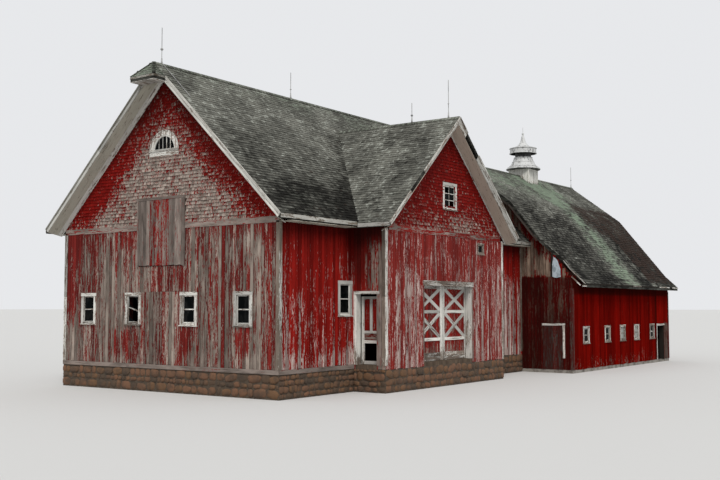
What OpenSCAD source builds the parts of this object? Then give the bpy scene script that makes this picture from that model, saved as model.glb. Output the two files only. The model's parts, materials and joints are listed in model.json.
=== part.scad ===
/* [Main barn] */
// Length of the main barn along its ridge, to the face of the stable barn
main_len = 18240; // [16500:10:20000]
// Width of the main barn across its front gable
main_w = 11250; // [10600:10:11900]
// Height of the main roof's top at its ridge, over the main floor
main_ridge_z = 11180; // [10900:10:11500]
// Height of the main roof's top at its eaves, over the main floor
main_eave_z = 5250; // [5150:10:5350]
// How far the main eaves stand out from the side walls
main_eave_out = 530; // [460:10:600]
// How far the front rake stands out from the front wall
main_rake_out = 570; // [480:10:640]
// How far the hay hood stands out past the rake
hood_out = 560; // [450:10:650]
// How far the hood's lip lies under the ridge
hood_drop = 600; // [500:10:700]

/* [Wagon wing] */
// Distance from the front wall to the wing's left wall
wing_from = 4280; // [4240:10:4500]
// Width of the wing across its gable
wing_w = 9200; // [8900:10:9400]
// How far the wing stands out from the main barn's side wall
wing_out = 1427; // [1350:1:1550]
// Height of the wing roof's top at its ridge
wing_ridge_z = 9770; // [9600:10:9900]
// Height of the wing roof's top at its eaves
wing_eave_z = 5190; // [5150:10:5230]
// How far the wing's eaves stand out from its walls
wing_eave_out = 517; // [460:1:560]
// How far the wing's rake stands out from its gable
wing_rake_out = 525; // [460:5:600]

/* [Stable barn] */
// Length of the stable barn
stable_len = 13740; // [12800:10:14600]
// Distance from the main barn's near side to the stable barn's near wall
stable_out = 2653; // [2500:1:2800]
// Width of the stable barn
stable_w = 11980; // [11600:10:12300]
// Height of the stable roof's top at its ridge
stable_ridge_z = 9520; // [9400:10:9600]
// Height of the roof's top where the upper slope meets the lower one
stable_break_z = 7240; // [7140:10:7300]
// Distance from the ridge to that break, across the roof
stable_break_in = 3070; // [2950:10:3200]
// Height of the roof's top where the eave flares out
stable_flare_z = 3880; // [3800:10:3950]
// Width of the flare
stable_flare_w = 700; // [620:10:760]
// Height of the stable roof's top at its eaves
stable_eave_z = 3235; // [3180:5:3300]
// How far the stable eaves stand out from the walls
stable_eave_out = 508; // [440:2:560]
// How far the stable roof stands out at its back
stable_rake_out = 230; // [180:10:330]
// How far the stable roof stands out at its front
stable_front_out = 540; // [480:10:600]
// How far behind its front wall the near slope has broken away, low down
stable_lost_in = 450; // [400:10:520]
// Distance from the ridge across the roof to where the break starts
stable_lost_from = 4580; // [4450:10:4700]
// Distance from the ridge to where the break reaches its full depth
stable_lost_to = 5410; // [5300:10:5550]

/* [Walls and roofs] */
// Thickness of the framed and boarded walls
wall_t = 280; // [240:5:300]
// Thickness of a roof with its rafters, measured straight down
roof_t = 180; // [150:5:200]
// Depth of the rake boards under the roof's top
rake_board_h = 325; // [260:5:360]
// Depth of the soffit at the wall under the roof's top
soffit_h = 528; // [480:2:560]
// Thickness of the trim boards
board_t = 25; // [20:1:32]
// Width of the corner boards
corner_w = 140; // [100:5:180]
// Height of the underside of the band over the siding
band_z = 5002; // [4960:2:5060]
// Height of the band
band_h = 215; // [160:5:240]

/* [Foundation and floors] */
// Depth of the lowest ground under the main floor
base_drop = 1000; // [850:10:1200]
// Thickness of the main floor
floor_t = 150; // [110:5:200]
// Thickness of the fieldstone foundation
stone_t = 400; // [340:5:460]
// How far the sill board stands proud of the siding
sill_out = 40; // [25:1:60]
// Thickness of the stable's concrete floor
stable_floor_t = 100; // [80:5:140]
// Height of the stable's concrete footing over the lowest ground
footing_h = 160; // [130:5:200]

/* [Windows] */
// Width of a window opening in the main walls
win_w = 620; // [540:5:680]
// Height of a window opening in the main walls
win_h = 1020; // [940:5:1080]
// Height of the front windows' sills
win_sill_z = 1530; // [1460:5:1600]
// Width of the casing boards round a window
casing_w = 120; // [80:5:140]
// Width of the sash bars round the glass
sash_w = 70; // [50:5:90]
// Thickness of the sash bars
sash_t = 45; // [35:1:60]
// Thickness of the glass
glass_t = 6; // [4:1:10]
// Radius of the half-round window's glass
fan_r = 530; // [460:5:580]
// Height of the foot of the half-round glass
fan_z = 7965; // [7880:5:8050]

/* [Hay door] */
// Width of the hay door
hay_w = 2520; // [2300:10:2700]
// Height of the hay door
hay_h = 2580; // [2400:10:2700]
// Height of the hay door's foot
hay_z = 3640; // [3560:10:3720]

/* [Entry door] */
// Width of the entry doorway
entry_w = 950; // [900:5:980]
// Height of the entry doorway
entry_h = 2600; // [2500:10:2700]
// Width of the entry door's leaf
entry_leaf_w = 860; // [800:5:880]
// Height of the entry door's leaf
entry_leaf_h = 2500; // [2350:10:2520]

/* [Wagon doors] */
// Distance from the wing's left corner to the wagon doorway
wagon_from = 2640; // [2500:10:2800]
// Width of the wagon doorway
wagon_w = 3770; // [3600:10:3900]
// Height of the wagon doorway
wagon_h = 2950; // [2850:10:3050]
// How far a leaf laps behind the doorway's sides and head
leaf_lap = 60; // [40:5:80]
// Thickness of a door leaf's boards
leaf_t = 28; // [20:1:36]
// Thickness of the rails, stiles and braces on a leaf
rail_t = 24; // [16:1:32]
// Clearance between a leaf and the wall it closes against
door_gap = 15; // [10:1:20]

/* [Stable openings] */
// Width of a stable window opening
cow_win_w = 560; // [480:5:620]
// Height of a stable window opening
cow_win_h = 660; // [600:5:720]
// Height of the stable windows' sills
cow_win_z = 430; // [380:5:500]
// Distance from the stable's rear corner to its open doorway
cow_door_in = 800; // [700:10:900]
// Width of the open doorway
cow_door_w = 1180; // [1050:10:1250]
// Height of the open doorway's head over the main floor
cow_door_z = 1060; // [980:10:1150]

/* [Cupola and rods] */
// Distance from the stable's front to the cupola's middle
cupola_from = 7200; // [6800:10:7600]
// Width of the cupola's square base
cupola_w = 1150; // [1050:10:1250]
// Radius of the cupola's brim
brim_r = 950; // [880:10:1000]
// Radius of the cupola's hood band
cap_r = 740; // [690:10:780]
// Height of the brim over the main floor
brim_z = 9930; // [9880:10:10000]
// Thickness of the lightning rods
rod_d = 26; // [20:1:40]

/* [Hidden] */
$fn = 48;
red = "firebrick";
grey = "dimgray";
white = "gainsboro";
// a length past any outline, for cutting
far = 60000;

// main roof
main_mid = main_w / 2;
main_half = main_mid + main_eave_out;
main_rise = (main_ridge_z - main_eave_z) / main_half;
main_pitch = atan(main_rise);
rear_over_y = stable_ridge_y() + 700;
// clearance between the soffits and the roofs that they hang under
soffit_gap = 0.05;
// boards under the stable's rakes
stable_rake_gap = 0.2;
stable_rake_h = 130;
flare_board_top = 20;
flare_board_foot = 240;

// wing
wing_to = wing_from + wing_w;
wing_mid = wing_from + wing_w / 2;
wing_half = wing_w / 2 + wing_eave_out;
wing_rise = (wing_ridge_z - wing_eave_z) / wing_half;
wing_tip = -wing_out - wing_rake_out;
wagon_x0 = wing_from + wagon_from;
wagon_x1 = wagon_x0 + wagon_w;
wagon_leaf_w = wagon_w / 2 + leaf_lap - 5;
wagon_leaf_h = wagon_h + leaf_lap - 15;

// stable barn
function stable_ridge_y() = stable_w / 2 - stable_out;
stable_x0 = main_len;
stable_x1 = main_len + stable_len;
stable_y0 = -stable_out;
stable_y1 = stable_w - stable_out;
stable_mid = stable_ridge_y();
stable_eave_y = stable_out + stable_mid + stable_eave_out;
stable_flare_y = stable_eave_y - stable_flare_w;
// half section of the stable roof's top, from the ridge out to the eave
stable_half = [
  [0, stable_ridge_z], [stable_break_in, stable_break_z],
  [stable_flare_y, stable_flare_z], [stable_eave_y, stable_eave_z]];

// whole outline, which the origin is centred under
x_min = -main_rake_out - board_t - hood_out;
x_max = stable_x1 + stable_rake_out;
y_min = stable_mid - stable_eave_y - board_t;
y_max = main_w + main_eave_out + board_t;
origin = [-(x_min + x_max) / 2, -(y_min + y_max) / 2, base_drop];

// distances along the front wall from the near corner to each window's middle
front_wins = [1630, 4270, 7210, 9770];
far_wins = [3000, 7000, 11000, 15000];
side_win_x = 3730;
side_win_z = 1870;
side_win_h = 1100;
wing_win = [8930, 6110, 860, 900];
loft_win = [11490, 4390, 440, 360];
ridge_gap = 2;
eave_board_h = 190;
stable_corner_z = stable_eave_z - roof_t - 40;
hay_shift = 120;
hay_y0 = main_mid - hay_w / 2 + hay_shift;
hay_y1 = main_mid + hay_w / 2 + hay_shift;
hay_door_t = 60;
entry_in = 93;
entry_y0 = -entry_in - entry_w;
entry_y1 = -entry_in;
cow_door_x1 = stable_x1 - cow_door_in;
cow_door_x0 = cow_door_x1 - cow_door_w;
// boards round the doorways
entry_board_w = 220;
door_head_h = 110;
wagon_head_h = 200;
door_head_over = 60;
jamb_w = 90;
// nailed-up doorway in the stable's front, under a head board
shut_door_y0 = -2140;
shut_door_y1 = -1130;
shut_door_z = 1240;
shut_jamb_z = -300;
// arch and sill of the half-round window
fan_trim_w = 220;
// the wing's band lies a little lower and stops short of its corners
wing_band_z = band_z - 50;
wing_band_in = 220;
// sill under each window
sill_over = 20;
sill_h = 45;
// hinges: the pin stands clear of the leaf's edge and behind its back
pin_r = 12;
pin_gap = 0.3;
eye_r = 26;
pin_out = 34;
pin_back = 22;
strap_h = 60;
strap_t = 8;
strap_len = 720;
// rails, stiles and braces of the wagon doors
wagon_stile_w = 165;
wagon_rail_w = 120;
wagon_rail_zs = [775, 1865];
wagon_kick_h = 310;
brace_w = 145;
brace_in = 30;
brace_reach = 2000;
// height of a leaf's foot over the floor
leaf_foot = 12;
hinge_zs = [420, 1420, 2240];
// entry door's panels
entry_stile_w = 115;
entry_top_rail_h = 90;
entry_panel_zs = [[120, 770], [880, 1130], [1230, entry_leaf_h - entry_top_rail_h]];
// windows along the stable, as shares of its length
cow_win_shares = [0.1135, 0.3122, 0.4658, 0.6135, 0.7933];
cow_wins = [for (s = cow_win_shares) round(s * stable_len)];
// half sections of the cupola from its brim up, drawn as (radius, height)
neck_r = 440;
cap_in_z = 1230;
skirt_line = [
  [brim_r, 0], [brim_r, 40], [780, 150], [620, 400], [515, 660], [515, 690], [neck_r, 720],
  [neck_r, cap_in_z]];
cap_line = [
  [neck_r, cap_in_z], [cap_r - board_t, 1190], [cap_r - board_t, 900], [cap_r, 900],
  [cap_r, 1210], [460, 1290], [340, 1365], [240, 1455], [165, 1570], [95, 1820], [42, 2010],
  [14, 2070], [14, 2430]];
rods = [
  [-200, main_mid, main_ridge_z, 1390], [7370, main_mid, main_ridge_z, 1160],
  [wing_mid, 330, wing_ridge_z, 840], [wing_mid, -1430, wing_ridge_z, 1580],
  [stable_x1 + 150, stable_mid, stable_ridge_z, 1300]];

// Height of the main roof's top at a place across it
function main_top(y) = main_ridge_z - main_rise * abs(y - main_mid);
// Height of the wing roof's top at a place across it
function wing_top(x) = wing_ridge_z - wing_rise * abs(x - wing_mid);

// Stands a drawing of (across, up) in a plane of constant x, and runs it from x0 to x1
module along_x(x0, x1) {
  translate([x0, 0, 0]) rotate([90, 0, 90]) linear_extrude(x1 - x0) children();
}
// Stands a drawing of (along, up) in a plane of constant y, and runs it from y0 to y1
module along_y(y0, y1) {
  translate([0, y1, 0]) rotate([90, 0, 0]) linear_extrude(y1 - y0) children();
}
module box(lo, hi) {
  translate(lo) cube(hi - lo);
}
// Moves the building from its near front corner to its origin
module placed() {
  translate(origin) children();
}
// Faces a drawing at -Y out of the front wall, at a distance y along it
module on_front(y, z) {
  translate([0, y, z]) rotate([0, 0, -90]) children();
}
module on_far(x, z) {
  translate([x, main_w, z]) rotate([0, 0, 180]) children();
}
// Stands a window in both long walls of the stable, at a distance x from its front
module on_stable_sides(x) {
  translate([stable_x0 + x, stable_y0, cow_win_z]) children();
  translate([stable_x0 + x, stable_y1, cow_win_z]) rotate([0, 0, 180]) children();
}

// Section of one main roof slope, drawn as (y, z)
module main_slope(thick) {
  polygon([[-main_eave_out, main_eave_z], [main_mid, main_ridge_z],
    [main_mid, main_ridge_z - thick], [-main_eave_out, main_eave_z - thick]]);
}
// Everything under the main roof's rafters, drawn as (y, z)
module under_main(drop) {
  polygon([[-main_eave_out, -base_drop], [-main_eave_out, main_eave_z - drop],
    [main_mid, main_ridge_z - drop], [main_w + main_eave_out, main_eave_z - drop],
    [main_w + main_eave_out, -base_drop]]);
}
module under_wing(drop) {
  polygon([[wing_mid - wing_half, -base_drop], [wing_mid - wing_half, wing_eave_z - drop],
    [wing_mid, wing_ridge_z - drop], [wing_mid + wing_half, wing_eave_z - drop],
    [wing_mid + wing_half, -base_drop]]);
}
module under_stable(drop) {
  polygon(concat(
    [[stable_mid + stable_eave_y, -base_drop]],
    [for (i = [3:-1:0]) [stable_mid + stable_half[i][0], stable_half[i][1] - drop]],
    [for (i = [1:3]) [stable_mid - stable_half[i][0], stable_half[i][1] - drop]],
    [[stable_mid - stable_eave_y, -base_drop]]));
}
module far_mirror() {
  translate([0, main_w, 0]) mirror([0, 1, 0]) children();
}
module wing_mirror() {
  translate([2 * wing_mid, 0, 0]) mirror([1, 0, 0]) children();
}
module stable_mirror() {
  translate([0, 2 * stable_mid, 0]) mirror([0, 1, 0]) children();
}

// A window opening w wide and h high, with its foot at z = 0
module win_hole(w, h) {
  translate([-w / 2, -1, 0]) cube([w, wall_t + 2, h]);
}
// Casing, sash and sill of a window, with the wall's face at y = 0
module win_frame(w, h, casing) {
  difference() {
    union() {
      translate([-w / 2 - casing, -board_t, -casing / 2])
        cube([w + 2 * casing, board_t, h + casing * 1.5]);
      translate([-w / 2, -board_t, 0]) cube([w, board_t + sash_t, h]);
      translate([-w / 2 - casing - sill_over, -2.4 * board_t, -casing / 2 - sill_h])
        cube([w + 2 * (casing + sill_over), 2.4 * board_t, sill_h]);
    }
    translate([-w / 2 + sash_w, -1000, sash_w]) cube([w - 2 * sash_w, 2000, h - 2 * sash_w]);
  }
}
// Glass that fits the sash
module win_pane(w, h) {
  translate([-w / 2 + sash_w, sash_t / 2, sash_w]) cube([w - 2 * sash_w, glass_t, h - 2 * sash_w]);
}
// A half disc standing in the plane of the wall
module half_disc(r, y0, y1) {
  intersection() {
    along_y(y0, y1) circle(r, $fn = 96);
    translate([-r, y0, 0]) cube([2 * r, y1 - y0, r]);
  }
}

module main_foundation() color("tan") placed() {
  difference() {
    union() {
      box([0, 0, -base_drop], [main_len, main_w, -floor_t]);
      box([wing_from, -wing_out, -base_drop], [wing_to, 0, -floor_t]);
    }
    box([stone_t, stone_t, -base_drop - 1], [main_len - stone_t, main_w - stone_t, 0]);
    box([wing_from + stone_t, -wing_out + stone_t, -base_drop - 1], [wing_to - stone_t, stone_t + 1, 0]);
  }
}
module main_floor() color("peru") placed() {
  box([wall_t, wall_t, -floor_t], [main_len - wall_t, main_w - wall_t, 0]);
  box([wing_from + wall_t, -wing_out + wall_t, -floor_t], [wing_to - wall_t, wall_t, 0]);
  box([wagon_x0, -wing_out, -floor_t], [wagon_x1, -wing_out + wall_t, 0]);
  box([wing_from, entry_y0, -floor_t], [wing_from + wall_t, entry_y1, 0]);
}
module hay_hole() {
  box([-1, hay_y0 + 30, hay_z + 80], [wall_t + 1, hay_y1 - 70, hay_z + hay_h - 80]);
}
module front_wall() color(red) placed() difference() {
  box([0, 0, -floor_t], [wall_t, main_w, band_z]);
  for (y = front_wins) on_front(y, win_sill_z) win_hole(win_w, win_h);
  hay_hole();
}
module front_gable() color(red) placed() difference() {
  intersection() {
    along_x(0, wall_t) under_main(roof_t);
    box([0, 0, band_z], [wall_t, main_w, far]);
  }
  on_front(main_mid, fan_z) half_disc(fan_r + sash_w, -1, wall_t + 1);
  hay_hole();
}
module near_side_walls() color(red) placed() intersection() {
  along_x(wall_t, main_len - wall_t) under_main(roof_t);
  difference() {
    union() {
      box([wall_t, 0, -floor_t], [wing_from + wall_t, wall_t, far]);
      box([wing_to - wall_t, 0, -floor_t], [main_len - wall_t, wall_t, far]);
    }
    translate([side_win_x, 0, side_win_z]) win_hole(win_w, side_win_h);
  }
}
module far_side_wall() color(red) placed() intersection() {
  along_x(wall_t, main_len - wall_t) under_main(roof_t);
  difference() {
    box([wall_t, main_w - wall_t, -floor_t], [main_len - wall_t, main_w, far]);
    for (x = far_wins) on_far(x, win_sill_z) win_hole(win_w, win_h);
  }
}
module main_rear_wall() color(red) placed() intersection() {
  along_x(main_len - wall_t, main_len) under_main(roof_t);
  box([0, 0, -floor_t], [far, main_w, far]);
}
module main_near_roof() color(grey) placed() {
  along_x(-main_rake_out, main_len) main_slope(roof_t);
  intersection() {
    along_x(main_len, main_len + main_rake_out) main_slope(roof_t);
    box([0, rear_over_y, 0], [far, main_mid, far]);
  }
}
module main_far_roof() color(grey) placed() far_mirror()
  along_x(-main_rake_out, main_len + main_rake_out) main_slope(roof_t);
// The hipped hood that carries the ridge out over the hay door
module hay_hood() color(grey) placed() {
  hood_x = -main_rake_out - board_t;
  intersection() {
    along_x(hood_x - hood_out, hood_x) polygon([
      [main_mid - hood_drop / main_rise, main_ridge_z - hood_drop], [main_mid, main_ridge_z],
      [main_mid + hood_drop / main_rise, main_ridge_z - hood_drop],
      [main_mid + hood_drop / main_rise, main_ridge_z - hood_drop - roof_t],
      [main_mid - hood_drop / main_rise, main_ridge_z - hood_drop - roof_t]]);
    along_y(0, main_w) polygon([
      [hood_x, main_ridge_z], [hood_x - hood_out, main_ridge_z - hood_drop],
      [hood_x - hood_out, main_ridge_z - hood_drop - roof_t], [hood_x, main_ridge_z - hood_drop - roof_t]]);
  }
}
// Sloping soffit box under one front rake of a roof, drawn in the plane across the slope
module rake_box(reach, rise) {
  c = cos(atan(rise));
  top = -roof_t * c - soffit_gap;
  polygon([[-reach, top], [0, top], [0, -soffit_h * c], [-reach, -rake_board_h * c]]);
}
module main_rake(reach) intersection() {
  translate([0, -main_eave_out, main_eave_z]) rotate([main_pitch, 0, 0])
    translate([0, far / 4, 0]) rotate([90, 0, 0]) linear_extrude(far / 2) rake_box(reach, main_rise);
  box([-far, -main_eave_out, 0], [far, main_mid - ridge_gap, far]);
}
module main_rake_half() {
  along_x(-main_rake_out - board_t, -main_rake_out) polygon([
    [-main_eave_out, main_eave_z], [main_mid - ridge_gap, main_top(main_mid - ridge_gap)],
    [main_mid - ridge_gap, main_top(main_mid - ridge_gap) - rake_board_h],
    [-main_eave_out, main_eave_z - rake_board_h]]);
  main_rake(main_rake_out);
}
module wing_rake_half() {
  rake_x = wing_mid - ridge_gap;
  along_y(wing_tip - board_t, wing_tip) polygon([
    [wing_mid - wing_half, wing_eave_z], [rake_x, wing_top(rake_x)],
    [rake_x, wing_top(rake_x) - rake_board_h], [wing_mid - wing_half, wing_eave_z - rake_board_h]]);
  intersection() {
    translate([wing_mid - wing_half, -wing_out, wing_eave_z]) rotate([0, -atan(wing_rise), 0])
      translate([-far / 4, 0, 0]) rotate([90, 0, 90]) linear_extrude(far / 2)
        rake_box(wing_rake_out, wing_rise);
    box([wing_mid - wing_half, -far, 0], [rake_x, -wing_out, far]);
  }
}
// Where the near slope's front corner has broken away, seen from above
module stable_lost_corner() {
  front = stable_x0 - stable_front_out;
  translate([0, 0, -far]) linear_extrude(2 * far) polygon([
    [front - stable_lost_in, stable_mid - stable_lost_from], [front, stable_mid - stable_lost_from],
    [stable_x0 + stable_lost_in, stable_mid - stable_lost_to], [stable_x0 + stable_lost_in, -far],
    [front - stable_lost_in, -far]]);
}
// Board hung under the edge of the stable roof, from x0 back by its thickness
module stable_rake(x0) along_x(x0, x0 + board_t) difference() {
  under_stable(roof_t + stable_rake_gap);
  under_stable(roof_t + stable_rake_h);
}
module rear_mirror() {
  translate([main_len, 0, 0]) mirror([1, 0, 0]) children();
}
module rake_trim() color(white) placed() {
  main_rake_half();
  far_mirror() main_rake_half();
  rear_mirror() far_mirror() main_rake_half();
  intersection() {
    rear_mirror() main_rake_half();
    box([main_len, rear_over_y, 0], [far, far, far]);
  }
  wing_rake_half();
  wing_mirror() wing_rake_half();
  stable_rake(stable_x1 + stable_rake_out - board_t);
  difference() {
    intersection() {
      stable_rake(stable_x0 - stable_front_out);
      box([0, -far, 0], [far, stable_mid - ridge_gap, far]);
    }
    stable_lost_corner();
  }
  // the flare's board that still hangs at the broken corner
  intersection() {
    along_x(stable_x0 - board_t, stable_x0) difference() {
      under_stable(flare_board_top);
      under_stable(flare_board_foot);
    }
    box([0, stable_mid - stable_eave_y, 0], [far, stable_y0 + corner_w, far]);
  }
}
// A board under the edge of the main roof's eave, from x0 to x1
module main_eave_board(x0, x1) {
  box([x0, -main_eave_out - board_t, main_eave_z - eave_board_h], [x1, -main_eave_out, main_eave_z - 10]);
}
module wing_eave_board() {
  x = wing_mid - wing_half;
  box([x - board_t, wing_tip, wing_eave_z - eave_board_h],
    [x, -main_eave_out - board_t - 5, wing_eave_z - 10]);
}
module stable_eave_board(x0) {
  y = stable_mid - stable_eave_y;
  box([x0, y - board_t, stable_eave_z - eave_board_h],
    [stable_x1 + stable_rake_out, y, stable_eave_z - 10]);
}
module eave_boards() color(white) placed() {
  main_eave_board(-main_rake_out, wing_mid - wing_half - board_t - 5);
  main_eave_board(wing_mid + wing_half + board_t + 5, main_len);
  far_mirror() main_eave_board(-main_rake_out, main_len + main_rake_out);
  wing_eave_board();
  wing_mirror() wing_eave_board();
  stable_eave_board(stable_x0 - board_t);
  stable_mirror() stable_eave_board(stable_x0);
}
module hay_door() color(grey) placed() {
  box([-hay_door_t, hay_y0, hay_z], [0, hay_y1, hay_z + hay_h]);
}
module window_frames() color(white) placed() {
  for (y = front_wins) on_front(y, win_sill_z) win_frame(win_w, win_h, casing_w);
  translate([side_win_x, 0, side_win_z]) win_frame(win_w, side_win_h, casing_w);
  for (x = far_wins) on_far(x, win_sill_z) win_frame(win_w, win_h, casing_w);
  translate([wing_win[0], -wing_out, wing_win[1]]) win_frame(wing_win[2], wing_win[3], casing_w);
  translate([loft_win[0], -wing_out, loft_win[1]]) win_frame(loft_win[2], loft_win[3], casing_w / 2);
  for (x = cow_wins) on_stable_sides(x) win_frame(cow_win_w, cow_win_h, casing_w - 20);
}
module half_round_window() color(white) placed() on_front(main_mid, fan_z) {
  difference() {
    union() {
      half_disc(fan_r + fan_trim_w, -board_t, 0);
      half_disc(fan_r + sash_w, -board_t, sash_t);
      translate([-fan_r - fan_trim_w - sill_over, -2 * board_t, -fan_trim_w])
        cube([2 * (fan_r + fan_trim_w + sill_over), 2 * board_t, fan_trim_w]);
    }
    translate([0, 0, 10]) half_disc(fan_r, -100, 100);
  }
}
module window_glass() color("lightsteelblue", 0.5) placed() {
  for (y = front_wins) on_front(y, win_sill_z) win_pane(win_w, win_h);
  translate([side_win_x, 0, side_win_z]) win_pane(win_w, side_win_h);
  for (x = far_wins) on_far(x, win_sill_z) win_pane(win_w, win_h);
  on_front(main_mid, fan_z + 10) half_disc(fan_r, sash_t / 2, sash_t / 2 + glass_t);
  translate([wing_win[0], -wing_out, wing_win[1]]) win_pane(wing_win[2], wing_win[3]);
  translate([loft_win[0], -wing_out, loft_win[1]]) win_pane(loft_win[2], loft_win[3]);
  for (x = cow_wins) on_stable_sides(x) win_pane(cow_win_w, cow_win_h);
}
module band_boards() color(grey) placed() {
  box([-board_t, 0, band_z], [0, hay_y0, band_z + band_h]);
  box([-board_t, hay_y1, band_z], [0, main_w, band_z + band_h]);
  box([wing_from + wing_band_in, -wing_out - board_t, wing_band_z],
    [wing_to - wing_band_in, -wing_out, wing_band_z + band_h]);
}
// Two boards that meet at an outside corner, with the corner at the origin of x and y
module corner_pair(z0, z1) {
  difference() {
    box([-board_t, -board_t, z0], [corner_w, corner_w, z1]);
    box([0, 0, z0 - 1], [corner_w + 1, corner_w + 1, z1 + 1]);
  }
}
module corner_boards() color(white) placed() {
  corner_pair(0, band_z);
  translate([0, main_w, 0]) mirror([0, 1, 0]) corner_pair(0, band_z);
  translate([wing_from, -wing_out, 0]) corner_pair(0, wing_band_z);
  translate([wing_to, -wing_out, 0]) mirror([1, 0, 0]) corner_pair(0, wing_band_z);
  translate([main_len - corner_w, -board_t, 0]) cube([corner_w, board_t, band_z]);
  translate([stable_x0, stable_y0, 0]) corner_pair(footing_h - base_drop, stable_corner_z);
  translate([stable_x1, stable_y0, 0]) mirror([1, 0, 0])
    corner_pair(footing_h - base_drop, stable_corner_z);
}
module sill_boards() color(grey) placed() {
  box([-sill_out, 0, -floor_t], [0, main_w, 0]);
  box([0, -sill_out, -floor_t], [wing_from, 0, 0]);
}
module wing_left_wall() color(red) placed() {
  box([wing_from, entry_y1, -floor_t], [wing_from + wall_t, 0, entry_h]);
  box([wing_from, -wing_out + wall_t, -floor_t], [wing_from + wall_t, entry_y0, entry_h]);
}
// The wing's side walls stop under the main roof where it comes down over them
module under_both() intersection() {
  along_y(-far, far) under_wing(roof_t);
  union() {
    along_x(0, main_len) under_main(roof_t);
    box([0, -far, -base_drop], [main_len, -main_eave_out, far]);
  }
}
module wing_left_wall_head() color(red) placed() intersection() {
  under_both();
  box([wing_from, -wing_out + wall_t, entry_h], [wing_from + wall_t, 0, far]);
}
module wing_right_wall() color(red) placed() intersection() {
  under_both();
  box([wing_to - wall_t, -wing_out + wall_t, -floor_t], [wing_to, 0, far]);
}
module loft_hole() {
  translate([loft_win[0], -wing_out, loft_win[1]]) win_hole(loft_win[2], loft_win[3]);
}
module wing_gable_sides() color(red) placed() difference() {
  union() {
    box([wing_from, -wing_out, -floor_t], [wagon_x0, -wing_out + wall_t, wing_band_z]);
    box([wagon_x1, -wing_out, -floor_t], [wing_to, -wing_out + wall_t, wing_band_z]);
  }
  loft_hole();
}
module wing_gable_upper() color(red) placed() difference() {
  union() {
    box([wagon_x0, -wing_out, wagon_h], [wagon_x1, -wing_out + wall_t, wing_band_z]);
    intersection() {
      along_y(-wing_out, -wing_out + wall_t) under_wing(roof_t);
      box([wing_from, -far, wing_band_z], [wing_to, far, far]);
    }
  }
  translate([wing_win[0], -wing_out, wing_win[1]]) win_hole(wing_win[2], wing_win[3]);
}
// One wing slope, cut to lie on the main roof where the two meet in a valley
module wing_slope() difference() {
  along_y(wing_tip, main_mid) polygon([
    [wing_mid - wing_half, wing_eave_z], [wing_mid, wing_ridge_z],
    [wing_mid, wing_ridge_z - roof_t], [wing_mid - wing_half, wing_eave_z - roof_t]]);
  intersection() {
    along_x(0, main_len) under_main(0);
    box([0, -main_eave_out, -base_drop], [main_len, main_w, far]);
  }
}
module wing_left_roof() color(grey) placed() wing_slope();
module wing_right_roof() color(grey) placed() wing_mirror() wing_slope();
module door_frames() color(white) placed() {
  // entry door: the wide board beside it, the board over it and the lining at the main wall
  box([wing_from - board_t, entry_y0 - entry_board_w, 0], [wing_from, entry_y0, entry_h]);
  box([wing_from - board_t, entry_y0 - entry_board_w, entry_h], [wing_from, 0, entry_h + door_head_h]);
  box([wing_from, entry_y1 - board_t, 0], [wing_from + wall_t, entry_y1, entry_h]);
  // wagon doors: the head board and the linings at both sides
  box([wagon_x0 - door_head_over, -wing_out - board_t, wagon_h],
    [wagon_x1 + door_head_over, -wing_out, wagon_h + wagon_head_h]);
  for (x = [wagon_x0, wagon_x1 - board_t])
    box([x, -wing_out, 0], [x + board_t, -wing_out + wall_t, wagon_h]);
  // open doorway of the stable
  box([cow_door_x0 - jamb_w, stable_y0 - board_t, cow_door_z],
    [cow_door_x1 + door_head_over, stable_y0, cow_door_z + door_head_h]);
  box([cow_door_x0 - jamb_w, stable_y0 - board_t, footing_h - base_drop],
    [cow_door_x0, stable_y0, cow_door_z]);
  // nailed-up doorway in the stable's front
  box([stable_x0 - board_t, shut_door_y0 - jamb_w, shut_door_z],
    [stable_x0, shut_door_y1, shut_door_z + door_head_h]);
  box([stable_x0 - board_t, shut_door_y0 - jamb_w, shut_jamb_z],
    [stable_x0, shut_door_y0, shut_door_z]);
}
// Strap and eye on the back of a leaf, whose edge is at x = 0 and whose back is at y = back
module leaf_strap(back, length) {
  difference() {
    union() {
      translate([-pin_out, back, 0]) cube([length + pin_out, strap_t, strap_h]);
      translate([-pin_out, back + pin_back, 0]) cylinder(strap_h, r = eye_r);
    }
    translate([-pin_out, back + pin_back, -1]) cylinder(strap_h + 2, r = pin_r + pin_gap);
  }
}
// Pin and arm on the wall's inner face, at y = -door_gap, that carry the eye above them
module pintle(back) {
  translate([-pin_out, back + pin_back, -40]) cylinder(40 + strap_h + 15, r = pin_r);
  translate([-pin_out - 20, -door_gap, -40]) cube([40, door_gap + back + pin_back + 20, 40 - pin_gap]);
}
// A leaf in the plane y = 0..t with its hinge edge at x = 0 and its foot at z = 0
module entry_leaf() {
  full_t = leaf_t + rail_t;
  panel_w = entry_leaf_w - 2 * entry_stile_w;
  half_w = (panel_w - entry_stile_w) / 2;
  difference() {
    cube([entry_leaf_w, full_t, entry_leaf_h]);
    // the bottom panel is missing, the middle one is whole and the top ones stand in a pair
    entry_panel(entry_stile_w, panel_w, entry_panel_zs[0], full_t + 1);
    entry_panel(entry_stile_w, panel_w, entry_panel_zs[1], rail_t);
    for (x = [entry_stile_w, entry_leaf_w - entry_stile_w - half_w])
      entry_panel(x, half_w, entry_panel_zs[2], rail_t);
  }
  for (z = hinge_zs) translate([0, 0, z]) leaf_strap(full_t, entry_stile_w);
}
// Cut for a panel, from x and between two heights, as deep as deep
module entry_panel(x, w, zs, deep) {
  translate([x, -1, zs[0]]) cube([w, deep + 1, zs[1] - zs[0]]);
}
module at_entry() {
  translate([wing_from + wall_t + door_gap, entry_y1 - 60 - entry_leaf_w, leaf_foot])
    rotate([0, 0, 90]) mirror([0, 1, 0]) children();
}
module entry_door() color(white) placed() at_entry() entry_leaf();
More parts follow.
